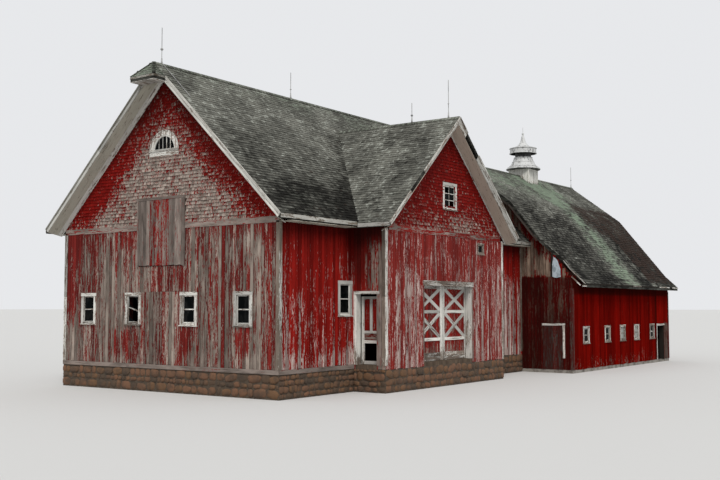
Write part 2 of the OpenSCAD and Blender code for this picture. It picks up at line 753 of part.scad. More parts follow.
// Two braces that cross in a panel, let into the stiles and rails round it, drawn as (x, z)
module wagon_cross(x0, x1, z0, z1) intersection() {
  translate([x0 - brace_in, z0 - brace_in]) square([x1 - x0 + 2 * brace_in, z1 - z0 + 2 * brace_in]);
  translate([(x0 + x1) / 2, (z0 + z1) / 2]) for (s = [-1, 1])
    rotate(s * atan2(z1 - z0, x1 - x0)) square([2 * brace_reach, brace_w], center = true);
}
// Stiles, rails and braces of a wagon door's leaf, drawn as (x, z)
module wagon_rails(w, h) {
  for (x = [0, w - wagon_stile_w]) translate([x, 0]) square([wagon_stile_w, h]);
  for (z = wagon_rail_zs) translate([0, z]) square([w, wagon_rail_w]);
  translate([0, h - wagon_stile_w]) square([w, wagon_stile_w]);
  square([w, wagon_kick_h]);
  wagon_cross(wagon_stile_w, w - wagon_stile_w, wagon_rail_zs[0] + wagon_rail_w, wagon_rail_zs[1]);
  wagon_cross(wagon_stile_w, w - wagon_stile_w, wagon_rail_zs[1] + wagon_rail_w, h - wagon_stile_w);
}
// A wagon door's leaf, from x = 0 at its hinge edge
module wagon_leaf() {
  translate([0, rail_t, 0]) cube([wagon_leaf_w, leaf_t, wagon_leaf_h]);
  along_y(0, rail_t) wagon_rails(wagon_leaf_w, wagon_leaf_h);
  for (z = hinge_zs) translate([0, 0, z]) leaf_strap(leaf_t + rail_t, strap_len);
}
module at_wagon_left() {
  translate([wagon_x0 - leaf_lap, -wing_out + wall_t + door_gap, leaf_foot]) children();
}
module at_wagon_right() {
  translate([wagon_x1 + leaf_lap, -wing_out + wall_t + door_gap, leaf_foot])
    mirror([1, 0, 0]) children();
}
module wagon_door_left() color(white) placed() at_wagon_left() wagon_leaf();
module wagon_door_right() color(white) placed() at_wagon_right() wagon_leaf();
module door_pintles() color(grey) placed() for (z = hinge_zs) {
  at_entry() translate([0, 0, z]) pintle(leaf_t + rail_t);
  at_wagon_left() translate([0, 0, z]) pintle(leaf_t + rail_t);
  at_wagon_right() translate([0, 0, z]) pintle(leaf_t + rail_t);
}
module stable_footing() color("darkgray") placed() difference() {
  box([stable_x0, stable_y0, -base_drop], [stable_x1, stable_y1, footing_h - base_drop]);
  box([stable_x0 + wall_t, stable_y0 + wall_t, -base_drop - 1], [stable_x1 - wall_t, stable_y1 - wall_t, 0]);
  box([cow_door_x0, stable_y0 - 1, stable_floor_t - base_drop],
    [cow_door_x1, stable_y0 + wall_t + 1, 0]);
}
module stable_floor() color("darkgray") placed()
  box([stable_x0 + wall_t, stable_y0 + wall_t, -base_drop],
    [stable_x1 - wall_t, stable_y1 - wall_t, stable_floor_t - base_drop]);
module stable_front_wall() color(red) placed() intersection() {
  along_x(stable_x0, stable_x0 + wall_t) under_stable(roof_t);
  box([0, stable_y0, footing_h - base_drop], [far, stable_y1, far]);
}
module stable_rear_wall() color(red) placed() intersection() {
  along_x(stable_x1 - wall_t, stable_x1) under_stable(roof_t);
  box([0, stable_y0, footing_h - base_drop], [far, stable_y1, far]);
}
module stable_near_walls() color(red) placed() intersection() {
  along_x(stable_x0 + wall_t, stable_x1 - wall_t) under_stable(roof_t);
  difference() {
    union() {
      box([stable_x0, stable_y0, footing_h - base_drop], [cow_door_x0, stable_y0 + wall_t, far]);
      box([cow_door_x1, stable_y0, footing_h - base_drop], [stable_x1, stable_y0 + wall_t, far]);
    }
    for (x = cow_wins) on_stable_sides(x) win_hole(cow_win_w, cow_win_h);
  }
}
module stable_doorway_head() color(red) placed() intersection() {
  along_x(cow_door_x0, cow_door_x1) under_stable(roof_t);
  box([stable_x0, stable_y0, cow_door_z], [stable_x1, stable_y0 + wall_t, far]);
}
module stable_far_wall() color(red) placed() intersection() {
  along_x(stable_x0 + wall_t, stable_x1 - wall_t) under_stable(roof_t);
  difference() {
    box([stable_x0, stable_y1 - wall_t, footing_h - base_drop], [stable_x1, stable_y1, far]);
    for (x = cow_wins) on_stable_sides(x) win_hole(cow_win_w, cow_win_h);
  }
}
module stable_slope(x0, x1) along_x(x0, x1) polygon(concat(
  [for (i = [0:3]) [stable_mid - stable_half[i][0], stable_half[i][1]]],
  [for (i = [3:-1:0]) [stable_mid - stable_half[i][0], stable_half[i][1] - roof_t]]));
module stable_near_roof() color(grey) placed() difference() {
  stable_slope(stable_x0 - stable_front_out, stable_x1 + stable_rake_out);
  stable_lost_corner();
}
module stable_far_roof() color(grey) placed() stable_mirror()
  stable_slope(stable_x0, stable_x1 + stable_rake_out);
module cupola_base() color(white) placed() intersection() {
  box([stable_x0 + cupola_from - cupola_w / 2, stable_mid - cupola_w / 2, stable_ridge_z - 500],
    [stable_x0 + cupola_from + cupola_w / 2, stable_mid + cupola_w / 2, brim_z]);
  difference() {
    box([0, -far, 0], [far, far, far]);
    along_x(0, far) under_stable(0);
  }
}
// Turns a half section round the cupola's axis, closed along the axis
module cupola_turned(line) {
  translate([stable_x0 + cupola_from, stable_mid, brim_z]) rotate_extrude($fn = 64)
    polygon(concat([[0, line[0][1]]], line, [[0, line[len(line) - 1][1]]]));
}
module cupola_skirt() color(white) placed() cupola_turned(skirt_line);
module cupola_cap() color(white) placed() cupola_turned(cap_line);
module lightning_rods() color(grey) placed()
  for (r = rods) translate([r[0], r[1], r[2]]) cylinder(r[3], d = rod_d);

main_foundation();
main_floor();
front_wall();
front_gable();
near_side_walls();
far_side_wall();
main_rear_wall();
main_near_roof();
main_far_roof();
hay_hood();
rake_trim();
eave_boards();
hay_door();
window_frames();
half_round_window();
window_glass();
band_boards();
corner_boards();
sill_boards();
wing_left_wall();
wing_left_wall_head();
wing_gable_sides();
wing_gable_upper();
wing_right_wall();
wing_left_roof();
wing_right_roof();
door_frames();
door_pintles();
entry_door();
wagon_door_left();
wagon_door_right();
stable_footing();
stable_floor();
stable_front_wall();
stable_near_walls();
stable_doorway_head();
stable_far_wall();
stable_rear_wall();
stable_near_roof();
stable_far_roof();
cupola_base();
cupola_skirt();
cupola_cap();
lightning_rods();
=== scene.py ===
"""Finish work for a weathered red barn: boards, shingles, trim, stones, windows, doors and their paint.

All sizes are in metres. Pieces are laid out in the barn's own corner frame: x runs back from the front
wall, y runs away from the near side wall and z is the height over the main floor.
"""

import json
import logging
import math
from collections.abc import Callable
from dataclasses import dataclass, field, replace
from enum import Enum

import bpy
import numpy as np
from mathutils import Matrix, Vector, noise


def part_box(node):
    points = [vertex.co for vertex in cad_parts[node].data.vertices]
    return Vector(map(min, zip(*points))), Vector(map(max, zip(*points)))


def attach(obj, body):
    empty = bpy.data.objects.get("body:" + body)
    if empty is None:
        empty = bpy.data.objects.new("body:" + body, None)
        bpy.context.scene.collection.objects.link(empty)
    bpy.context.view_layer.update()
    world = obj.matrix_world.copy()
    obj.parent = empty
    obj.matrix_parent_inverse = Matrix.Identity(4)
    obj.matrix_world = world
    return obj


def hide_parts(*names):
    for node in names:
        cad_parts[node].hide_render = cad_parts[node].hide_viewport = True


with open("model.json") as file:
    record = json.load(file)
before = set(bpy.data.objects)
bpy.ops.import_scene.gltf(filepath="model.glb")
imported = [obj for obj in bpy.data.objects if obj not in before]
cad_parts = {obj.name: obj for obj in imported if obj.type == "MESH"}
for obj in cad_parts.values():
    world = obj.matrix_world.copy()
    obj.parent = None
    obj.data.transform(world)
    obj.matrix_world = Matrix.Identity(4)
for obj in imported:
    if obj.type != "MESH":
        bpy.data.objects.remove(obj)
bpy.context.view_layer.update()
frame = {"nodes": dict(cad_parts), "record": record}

LOG = logging.getLogger("barn")
Points = np.ndarray
Field = Callable[[Points], Points]
Curve = Callable[[Points], Points]
Pair = tuple[float, float]
Rect = tuple[float, float, float, float]
Colour = tuple[float, float, float]
Socket = bpy.types.NodeSocket
X, Y, Z = np.eye(3)


def vec(*xyz: float) -> Points:
    """A point or direction as an array."""
    return np.array(xyz, dtype=float)


def unit(v: Points) -> Points:
    """The direction of a vector."""
    return v / np.linalg.norm(v)


def falling(v: Points) -> Points:
    """The vector or its reverse, whichever points down."""
    return v if v[2] < 0 else -v


def rising(v: Points) -> Points:
    """The vector or its reverse, whichever points up."""
    return v if v[2] > 0 else -v


def ramp(value: Points, low: float, high: float) -> Points:
    """Rises smoothly from 0 at low to 1 at high."""
    t = np.clip((value - low) / (high - low), 0.0, 1.0)
    return t * t * (3.0 - 2.0 * t)


def fade(value: Points, low: float, high: float) -> Points:
    """Falls smoothly from 1 at low to 0 at high."""
    return 1 - ramp(value, low, high)


def spot(a: Points, b: Points, centre: Pair, reach: Pair) -> Points:
    """A soft patch that is 1 at its centre and 0 past its reach along a and b."""
    r = np.hypot((a - centre[0]) / reach[0], (b - centre[1]) / reach[1])
    return fade(r, 0.45, 1.0)


def drift(p: Points, scale: float, shift: float = 0.0) -> Points:
    """Slow noise from -1 to 1 at each point, with patches about 1 / scale wide."""
    return np.array([noise.noise(Vector(q) * scale + Vector((shift, shift, shift))) for q in p])


def level(value: float) -> Curve:
    """A height that is the same all along."""
    return lambda u: value + 0 * u


def even(value: float) -> Field:
    """A mark that is the same everywhere."""
    return lambda p: np.full(len(p), value)


def everywhere(p: Points) -> np.ndarray:
    """Keeps every point."""
    return np.ones(len(p), dtype=bool)


@dataclass(frozen=True)
class Plan:
    """The barn's driving sizes, as the frame holds them."""

    length: float = 18.24
    width: float = 11.25
    ridge_z: float = 11.18
    eave_z: float = 5.25
    eave_out: float = 0.53
    rake_out: float = 0.57
    wing_x0: float = 4.28
    wing_x1: float = 13.48
    wing_out: float = 1.427
    wing_ridge_z: float = 9.77
    wing_eave_z: float = 5.19
    wing_eave_out: float = 0.517
    wing_rake_out: float = 0.525
    stable_x1: float = 31.98
    stable_y0: float = -2.653
    stable_y1: float = 9.327
    stable_ridge_z: float = 9.52
    stable_break: Pair = (3.07, 7.24)
    stable_flare: Pair = (5.798, 3.88)
    stable_eave: Pair = (6.498, 3.235)
    stable_plate_z: float = 3.6
    stable_rake_out: float = 0.23
    stable_front_out: float = 0.54
    lost_in: float = 0.45
    lost_from: float = 4.58
    lost_to: float = 5.41
    roof_t: float = 0.18
    wall_t: float = 0.28
    band_z: float = 5.002
    band_h: float = 0.215
    wing_band_z: float = 4.952
    ground_z: float = -1.0
    footing_z: float = -0.84
    sill_z: float = -0.15
    fan_z: float = 7.965
    cupola_x: float = 25.44

    @property
    def mid(self) -> float:
        """Across the main barn to its ridge."""
        return self.width / 2

    @property
    def wing_mid(self) -> float:
        """Along the main barn to the wing's ridge."""
        return (self.wing_x0 + self.wing_x1) / 2

    @property
    def wing_half(self) -> float:
        """From the wing's ridge out to its eaves."""
        return (self.wing_x1 - self.wing_x0) / 2 + self.wing_eave_out

    @property
    def wing_tip(self) -> float:
        """Across to the wing roof's outer end."""
        return -self.wing_out - self.wing_rake_out

    @property
    def stable_mid(self) -> float:
        """Across to the stable barn's ridge."""
        return (self.stable_y0 + self.stable_y1) / 2

    @property
    def main_fall(self) -> float:
        """How far the main roof drops for each metre across."""
        return (self.ridge_z - self.eave_z) / (self.mid + self.eave_out)

    @property
    def wing_fall(self) -> float:
        """How far the wing's roof drops for each metre across."""
        return (self.wing_ridge_z - self.wing_eave_z) / self.wing_half

    @property
    def stable_knots(self) -> list[Pair]:
        """The gambrel roof from eave to ridge, as distances from the ridge line with their heights."""
        return [self.stable_eave, self.stable_flare, self.stable_break, (0.0, self.stable_ridge_z)]

    def main_top(self, y: Points) -> Points:
        """Height of the main roof's top."""
        return self.ridge_z - self.main_fall * np.abs(y - self.mid)

    def wing_top(self, x: Points) -> Points:
        """Height of the wing roof's top."""
        return self.wing_ridge_z - self.wing_fall * np.abs(x - self.wing_mid)

    def stable_top(self, y: Points) -> Points:
        """Height of the gambrel roof's top."""
        away, high = zip(*reversed(self.stable_knots))
        return np.interp(np.abs(y - self.stable_mid), away, high)

    def lost_corner(self, p: Points) -> np.ndarray:
        """Whether points lie where the stable roof's near front corner has broken away.

        Args:
            p: the points.

        Returns:
            True for each point in the break.
        """
        away = self.stable_mid - p[:, 1]
        share = np.clip((away - self.lost_from) / (self.lost_to - self.lost_from), 0.0, 1.0)
        edge = self.length - self.stable_front_out + (self.lost_in + self.stable_front_out) * share
        return (away > self.lost_from) & (p[:, 0] < edge)


PLAN = Plan()
WALL_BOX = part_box("front_wall")
ORIGIN = vec(WALL_BOX[0][0], WALL_BOX[0][1], WALL_BOX[0][2] - PLAN.sill_z)


class Body(Enum):
    """The bodies that pieces ride on."""

    BARN = "barn"
    ENTRY = "entry_leaf"
    LEFT = "wagon_leaf_left"
    RIGHT = "wagon_leaf_right"


@dataclass(frozen=True)
class Face:
    """An upright wall face: a corner, the direction along it and the direction out of it."""

    corner: Points
    along: Points
    out: Points

    def at(self, u: float, z: float, proud: float = 0.0) -> Points:
        """The point u along the face at height z, proud of it."""
        return self.corner + self.along * u + Z * z + self.out * proud


def rounded_cube(cuts: int, power: float) -> tuple[Points, np.ndarray]:
    """A cube of half-size 1 with rounded edges.

    Args:
        cuts: squares along each edge.
        power: how square it stays, from 2 for a ball.

    Returns:
        Its corners and its squares.
    """
    lines = np.linspace(-1, 1, cuts + 1)
    spots: dict[tuple, int] = {}
    quads = []
    for axis in range(3):
        for side in (-1.0, 1.0):
            a, b = (axis + 1) % 3, (axis + 2) % 3
            grid = np.zeros((cuts + 1, cuts + 1), dtype=int)
            for i, p in enumerate(lines):
                for j, q in enumerate(lines):
                    place = [0.0] * 3
                    place[axis], place[a], place[b] = side, p, q
                    grid[i, j] = spots.setdefault(tuple(place), len(spots))
            cell = np.stack([grid[:-1, :-1], grid[1:, :-1], grid[1:, 1:], grid[:-1, 1:]], -1).reshape(-1, 4)
            quads.append(cell if side > 0 else cell[:, ::-1])
    ball = np.array(list(spots))
    return ball / (np.abs(ball) ** power).sum(1, keepdims=True) ** (1 / power), np.concatenate(quads)


STONE_CORNERS, STONE_FACES = rounded_cube(3, 3.2)


class Heap:
    """Gathers many closed shapes into one mesh, with grain, wear, tone and moss kept on its points."""

    def __init__(self, name: str, seed: int, smooth: bool = False) -> None:
        """Starts an empty mesh.

        Args:
            name: the piece's name.
            seed: start of its random draws.
            smooth: whether its faces shade smoothly.
        """
        self.name = name
        self.smooth = smooth
        self.rng = np.random.default_rng(seed)
        self.points: list[Points] = []
        self.faces: list[np.ndarray] = []
        self.marks: list[Points] = []
        self.count = 0

    def add(self, points: Points, faces: list[np.ndarray], grain: Points | float, wear: Points | float,
            tone: Points | float, moss: Points | float = 0.0) -> None:
        """Adds one closed shape or a batch of them.

        Args:
            points: corners, n by 3, in the corner frame.
            faces: arrays of corner numbers, one array for each face size.
            grain: across, along and a shift that sets boards apart, n by 3.
            wear: lost paint, 0 to 1.
            tone: light or dark, 0 to 1.
            moss: green growth, or on painted boards dirt and painted shade, 0 to 1.
        """
        marks = np.zeros((len(points), 6))
        marks[:, :3] = grain
        marks[:, 3] = wear
        marks[:, 4] = tone
        marks[:, 5] = moss
        self.points.append(points)
        self.marks.append(marks)
        self.faces.extend(f + self.count for f in faces)
        self.count += len(points)

    def board(self, start: Points, end: Points, across: Points, out: Points, width: float, thick: float,
              wear: Field | float = 0.4, tone: float | None = None, step: float = 0.35,
              moss: Field | float = 0.0) -> None:
        """Adds a board whose back runs from start to end.

        Args:
            start: middle of the back at one end.
            end: middle of the back at the other end.
            across: direction of its width.
            out: direction of its thickness.
            width: its width.
            thick: its thickness.
            wear: lost paint as a number, or as a function of the points.
            tone: its own shade, drawn at random if left out.
            step: longest stretch between its rings.
            moss: green growth on it, or dirt and painted shade on painted boards.
        """
        length = float(np.linalg.norm(end - start))
        if length < 0.02 or width < 0.004:
            return
        along = (end - start) / length
        rings = max(1, math.ceil(length / step))
        s = np.linspace(0.0, length, rings + 1)
        corners = [(-0.5, 0.0), (-0.5, 1.0), (0.5, 1.0), (0.5, 0.0)]
        points = np.stack([start + s[:, None] * along + a * width * across + b * thick * out
                           for a, b in corners], 1).reshape(-1, 3)
        grain = np.zeros_like(points)
        grain[:, 0] = np.tile([a * width + b * thick for a, b in corners], rings + 1)
        grain[:, 1] = np.repeat(s, 4)
        grain[:, 2] = self.rng.uniform(0, 60)
        tone = self.rng.uniform(0, 1) if tone is None else tone
        ring = np.arange(rings) * 4
        sides = [(k, (k + 1) % 4) for k in range(4)]
        quads = np.concatenate([np.stack([ring + a, ring + b, ring + 4 + b, ring + 4 + a], 1)
                                for a, b in sides])
        last = rings * 4
        quads = np.concatenate([quads, [[3, 2, 1, 0], [last, last + 1, last + 2, last + 3]]])
        if np.dot(np.cross(across, along), out) < 0:
            quads = quads[:, ::-1]
        lost = wear(points) if callable(wear) else wear
        grown = moss(points) if callable(moss) else moss
        self.add(points, [quads], grain, np.clip(lost, 0, 1), tone, grown)

    def post(self, face: Face, u: float, z: Pair, width: float, thick: float, wear: Field | float = 0.4,
             proud: float = 0.0, **more: float) -> None:
        """Adds an upright board on a wall face, between two heights."""
        self.board(face.at(u, z[0], proud), face.at(u, z[1], proud), face.along, face.out, width, thick, wear,
                   **more)

    def rail(self, face: Face, u: Pair, z: float, height: float, thick: float, wear: Field | float = 0.4,
             proud: float = 0.0, **more: float) -> None:
        """Adds a level board on a wall face, between two places along it."""
        self.board(face.at(u[0], z, proud), face.at(u[1], z, proud), Z, face.out, height, thick, wear, **more)

    def strip(self, start: Points, end: Points, across: Points, out: Points, width: float, thick: float,
              pieces: float, wear: Field | float = 0.4, **more: float) -> None:
        """Adds butted boards from start to end.

        Args:
            start: middle of the first board's back at its start.
            end: middle of the last board's back at its end.
            across: direction of their width.
            out: direction of their thickness.
            width: their width.
            thick: their thickness.
            pieces: about how long each board is.
            wear: lost paint.
            more: what else each board is told.
        """
        n = max(1, round(float(np.linalg.norm(end - start)) / pieces))
        cuts = [start + (end - start) * i / n for i in range(n + 1)]
        for a, b in zip(cuts, cuts[1:]):
            self.board(a, b - unit(b - a) * 0.003, across, out, width, thick, wear, **more)

    def prism(self, outline: list[Pair] | Points, right: Points, up: Points, base: Points, thick: float,
              wear: float = 0.4, tone: float | None = None) -> None:
        """Adds an outline given some thickness.

        Args:
            outline: its corners as (right, up) pairs, counter-clockwise.
            right: first direction of the outline.
            up: second direction of the outline.
            base: where (0, 0) of its back lies.
            thick: thickness along right x up.
            wear: lost paint.
            tone: its own shade, drawn at random if left out.
        """
        flat = np.asarray(outline, dtype=float)
        n = len(flat)
        back = base + np.outer(flat[:, 0], right) + np.outer(flat[:, 1], up)
        points = np.concatenate([back, back + np.cross(right, up) * thick])
        k = np.arange(n)
        sides = np.stack([k, (k + 1) % n, (k + 1) % n + n, k + n], 1)
        grain = np.zeros((2 * n, 3))
        grain[:, :2] = np.tile(flat, (2, 1))
        grain[:, 2] = self.rng.uniform(0, 60)
        tone = self.rng.uniform(0, 1) if tone is None else tone
        self.add(points, [sides, np.stack([k[::-1], k + n])], grain, wear, tone)

    def turned(self, line: list[Pair], foot: Points, steps: int = 32, wear: float = 0.4,
               tone: float = 0.5) -> None:
        """Turns an outline into a ring round an upright axis.

        Args:
            line: a closed outline of (radius, height) pairs, counter-clockwise.
            foot: where the axis has height 0.
            steps: stretches round the ring.
            wear: lost paint.
            tone: its shade.
        """
        flat = np.asarray(line, dtype=float)
        n = len(flat)
        turn = np.linspace(0, 2 * math.pi, steps, endpoint=False)[:, None]
        points = np.stack([flat[:, 0] * np.cos(turn), flat[:, 0] * np.sin(turn),
                           np.broadcast_to(flat[:, 1], (steps, n))], 2).reshape(-1, 3) + foot
        i, k = np.divmod(np.arange(steps * n), n)
        far_i, far_k = (i + 1) % steps, (k + 1) % n
        quads = np.stack([i * n + k, far_i * n + k, far_i * n + far_k, i * n + far_k], 1)
        grain = np.zeros_like(points)
        grain[:, 0] = np.repeat(turn[:, 0], n) * 0.5
        grain[:, 1] = np.tile(flat[:, 1], steps)
        self.add(points, [quads], grain, wear, tone)

    def stone(self, middle: Points, right: Points, out: Points, size: tuple[float, float, float]) -> None:
        """Adds a rounded, uneven stone that sits in a wall face.

        Args:
            middle: its middle.
            right: direction along the wall.
            out: direction out of the wall.
            size: half its width, height and depth.
        """
        turn = self.rng.normal(0, 0.10)
        bumps = 1 + self.rng.normal(0, 0.055, len(STONE_CORNERS))
        flat = STONE_CORNERS * np.array(size) * bumps[:, None]
        u = flat[:, 0] * math.cos(turn) - flat[:, 1] * math.sin(turn)
        v = flat[:, 0] * math.sin(turn) + flat[:, 1] * math.cos(turn)
        points = middle + np.outer(u, right) + np.outer(v, Z) + np.outer(flat[:, 2], out)
        faces = STONE_FACES if np.dot(np.cross(right, Z), out) >= 0 else STONE_FACES[:, ::-1]
        self.add(points, [faces], 0.0, 0.0, self.rng.uniform(0, 1))

    def build(self, finish: "Finish", slot: str, stands_for: tuple[str, ...] = (),
              body: Body = Body.BARN) -> None:
        """Makes the mesh, dresses it and puts it on its body.

        Args:
            finish: its finish.
            slot: the material slot that it belongs to; not used.
            stands_for: the frame's nodes that it takes the place of.
            body: the body it rides on.
        """
        points = np.concatenate(self.points) + ORIGIN
        marks = np.concatenate(self.marks)
        sizes = np.concatenate([np.full(len(f), f.shape[1]) for f in self.faces])
        corners = np.concatenate([f.ravel() for f in self.faces])
        mesh = bpy.data.meshes.new(self.name)
        mesh.vertices.add(len(points))
        mesh.vertices.foreach_set("co", points.ravel())
        mesh.loops.add(len(corners))
        mesh.loops.foreach_set("vertex_index", corners.astype(np.int32))
        mesh.polygons.add(len(sizes))
        starts = np.concatenate([[0], np.cumsum(sizes)[:-1]])
        mesh.polygons.foreach_set("loop_start", starts.astype(np.int32))
        mesh.polygons.foreach_set("use_smooth", np.full(len(sizes), self.smooth))
        mesh.update(calc_edges=True)
        grain = mesh.attributes.new("grain", "FLOAT_VECTOR", "POINT")
        grain.data.foreach_set("vector", marks[:, :3].ravel())
        for i, word in enumerate(("wear", "tone", "moss"), 3):
            layer = mesh.attributes.new(word, "FLOAT", "POINT")
            layer.data.foreach_set("value", np.ascontiguousarray(marks[:, i]))
        mesh.validate()
        piece = bpy.data.objects.new(self.name, mesh)
        bpy.context.scene.collection.objects.link(piece)
        mesh.materials.append(finish.material())
        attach(piece, body.value)
        if stands_for:
            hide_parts(*stands_for)
        LOG.info("%s: %d faces", self.name, len(sizes))


class Tree:
    """A node tree with short calls for making and linking its nodes."""

    def __init__(self, tree: bpy.types.NodeTree) -> None:
        """Wraps a tree."""
        self.tree = tree

    def make(self, kind: str, inputs: dict | None = None, **values: object) -> bpy.types.Node:
        """Makes a node.

        Args:
            kind: its type without the ShaderNode prefix.
            inputs: socket names or numbers with their values or the sockets to link.
            values: its own properties.

        Returns:
            The node.
        """
        node = self.tree.nodes.new("ShaderNode" + kind)
        for key, value in values.items():
            setattr(node, key, value)
        for key, value in (inputs or {}).items():
            if isinstance(value, Socket):
                self.tree.links.new(value, node.inputs[key])
            else:
                node.inputs[key].default_value = value
        return node

    def mark(self, name: str) -> Socket:
        """Reads a number kept on the points."""
        return self.make("Attribute", attribute_name=name).outputs["Fac"]

    def place(self) -> Socket:
        """Where a point is on its object."""
        return self.make("TexCoord").outputs["Object"]

    def grain(self, kept: bool) -> Socket:
        """The board direction: the one kept on the points, or upright boards worked out from the place.

        Args:
            kept: whether the points carry it.

        Returns:
            The direction, as places along and across the boards.
        """
        if kept:
            return self.make("Attribute", attribute_name="grain").outputs["Vector"]
        place = self.make("SeparateXYZ", {0: self.place()})
        side = self.plus(place.outputs[0], place.outputs[1])
        return self.make("CombineXYZ", {0: side, 1: place.outputs[2]}).outputs[0]

    def noise(self, vector: Socket, scale: tuple[float, float, float], detail: float = 3.0,
              rough: float = 0.55) -> Socket:
        """Noise over a stretched vector, from about 0.25 to 0.75.

        Args:
            vector: the places.
            scale: the stretch along each axis.
            detail: number of finer layers.
            rough: strength of the finer layers.

        Returns:
            The noise.
        """
        stretched = self.make("VectorMath", {0: vector, 1: scale}, operation="MULTIPLY").outputs[0]
        return self.make("TexNoise", {"Vector": stretched, "Scale": 1.0, "Detail": detail,
                                      "Roughness": rough}).outputs["Fac"]

    def math(self, what: str, a: object, b: object) -> Socket:
        """Arithmetic on two numbers."""
        return self.make("Math", {0: a, 1: b}, operation=what).outputs[0]

    def plus(self, a: object, b: object) -> Socket:
        """The sum of two numbers."""
        return self.math("ADD", a, b)

    def minus(self, a: object, b: object) -> Socket:
        """The difference of two numbers."""
        return self.math("SUBTRACT", a, b)

    def times(self, a: object, b: object) -> Socket:
        """The product of two numbers."""
        return self.math("MULTIPLY", a, b)

    def remap(self, value: object, low: float, high: float, to_low: float = 0.0,
              to_high: float = 1.0) -> Socket:
        """Takes low..high smoothly to to_low..to_high."""
        return self.make("MapRange", {0: value, 1: low, 2: high, 3: to_low, 4: to_high},
                         interpolation_type="SMOOTHSTEP").outputs[0]

    def mix(self, share: object, a: object, b: object) -> Socket:
        """Mixes two colours."""
        a, b = ((*c, 1.0) if isinstance(c, tuple) else c for c in (a, b))
        return self.make("Mix", {0: share, 6: a, 7: b}, data_type="RGBA").outputs[2]

    def group(self, group: bpy.types.NodeTree, inputs: dict) -> bpy.types.bpy_prop_collection:
        """The outputs of a shared group, placed here."""
        return self.make("Group", inputs, node_tree=group).outputs


def shared_group(name: str, ins: dict[str, str], outs: dict[str, str], fill: Callable) -> bpy.types.NodeTree:
    """Makes a node group once.

    Args:
        name: the group's name.
        ins: its input names with their socket types.
        outs: its output names with their socket types.
        fill: draws the nodes, given the tree and the input sockets, and returns the output sockets in order.

    Returns:
        The group.
    """
    if name in bpy.data.node_groups:
        return bpy.data.node_groups[name]
    group = bpy.data.node_groups.new(name, "ShaderNodeTree")
    for word, kind in ins.items():
        group.interface.new_socket(word, in_out="INPUT", socket_type="NodeSocket" + kind)
    for word, kind in outs.items():
        group.interface.new_socket(word, in_out="OUTPUT", socket_type="NodeSocket" + kind)
    enter, leave = group.nodes.new("NodeGroupInput"), group.nodes.new("NodeGroupOutput")
    made = fill(Tree(group), enter.outputs)
    for socket, into in zip(made, leave.inputs):
        group.links.new(socket, into)
    return group


def old_wood() -> bpy.types.NodeTree:
    """Weathered wood: fibres along the board, checks and slow stains.

    Returns:
        The group.
    """

    def fill(t: Tree, ins: bpy.types.bpy_prop_collection) -> list[Socket]:
        """Draws the nodes.

        Args:
            t: the tree.
            ins: the group's input sockets.

        Returns:
            The output sockets in order.
        """
        grain = ins["Grain"]
        fibre = t.remap(t.noise(grain, (95.0, 3.2, 1.0), 4.0, 0.6), 0.32, 0.68)
        check = t.remap(t.noise(grain, (38.0, 0.9, 1.0), 2.0, 0.5), 0.36, 0.30)
        stain = t.remap(t.noise(grain, (4.0, 0.9, 0.7), 3.0, 0.6), 0.3, 0.7)
        height = t.minus(fibre, t.times(check, 1.6))
        return [fibre, check, stain, height]

    return shared_group("old_wood", {"Grain": "Vector"},
                        {"Fibre": "Float", "Check": "Float", "Stain": "Float", "Height": "Float"}, fill)


def paint_loss() -> bpy.types.NodeTree:
    """Where paint has come off: long flakes along the grain, with thin paint round them.

    Returns:
        The group.
    """

    def fill(t: Tree, ins: bpy.types.bpy_prop_collection) -> list[Socket]:
        """Draws the nodes.

        Args:
            t: the tree.
            ins: the group's input sockets.

        Returns:
            The output sockets in order.
        """
        grain = ins["Grain"]
        large = t.noise(grain, (13.0, 1.15, 1.0), 5.0, 0.72)
        small = t.noise(grain, (46.0, 9.0, 1.0), 4.0, 0.65)
        mixed = t.plus(t.times(large, 0.65), t.times(small, 0.35))
        level = t.remap(mixed, 0.37, 0.63)
        lost = t.minus(ins["Wear"], level)
        bare = t.remap(lost, -0.01, 0.04)
        thin = t.remap(lost, -0.10, 0.0)
        return [bare, thin]

    return shared_group("paint_loss", {"Grain": "Vector", "Wear": "Float"},
                        {"Bare": "Float", "Thin": "Float"}, fill)


@dataclass(frozen=True)
class Finish:
    """A finish that is made into a material once."""

    name: str

    def draw(self, t: Tree) -> dict:
        """Draws the nodes and returns the surface's inputs."""
        raise NotImplementedError

    def material(self) -> bpy.types.Material:
        """The finish as a material.

        Returns:
            The material, the same one each time.
        """
        name = "aged_" + self.name
        if name in bpy.data.materials:
            return bpy.data.materials[name]
        made = bpy.data.materials.new(name)
        made.use_nodes = True
        made.node_tree.nodes.clear()
        t = Tree(made.node_tree)
        inputs = self.draw(t)
        bump = inputs.pop("Height", None)
        if bump is not None:
            strength, distance, height = bump
            inputs["Normal"] = t.make("Bump", {"Strength": strength, "Distance": distance,
                                               "Height": height}).outputs[0]
        surface = t.make("BsdfPrincipled", inputs)
        t.make("OutputMaterial", {"Surface": surface.outputs[0]})
        return made


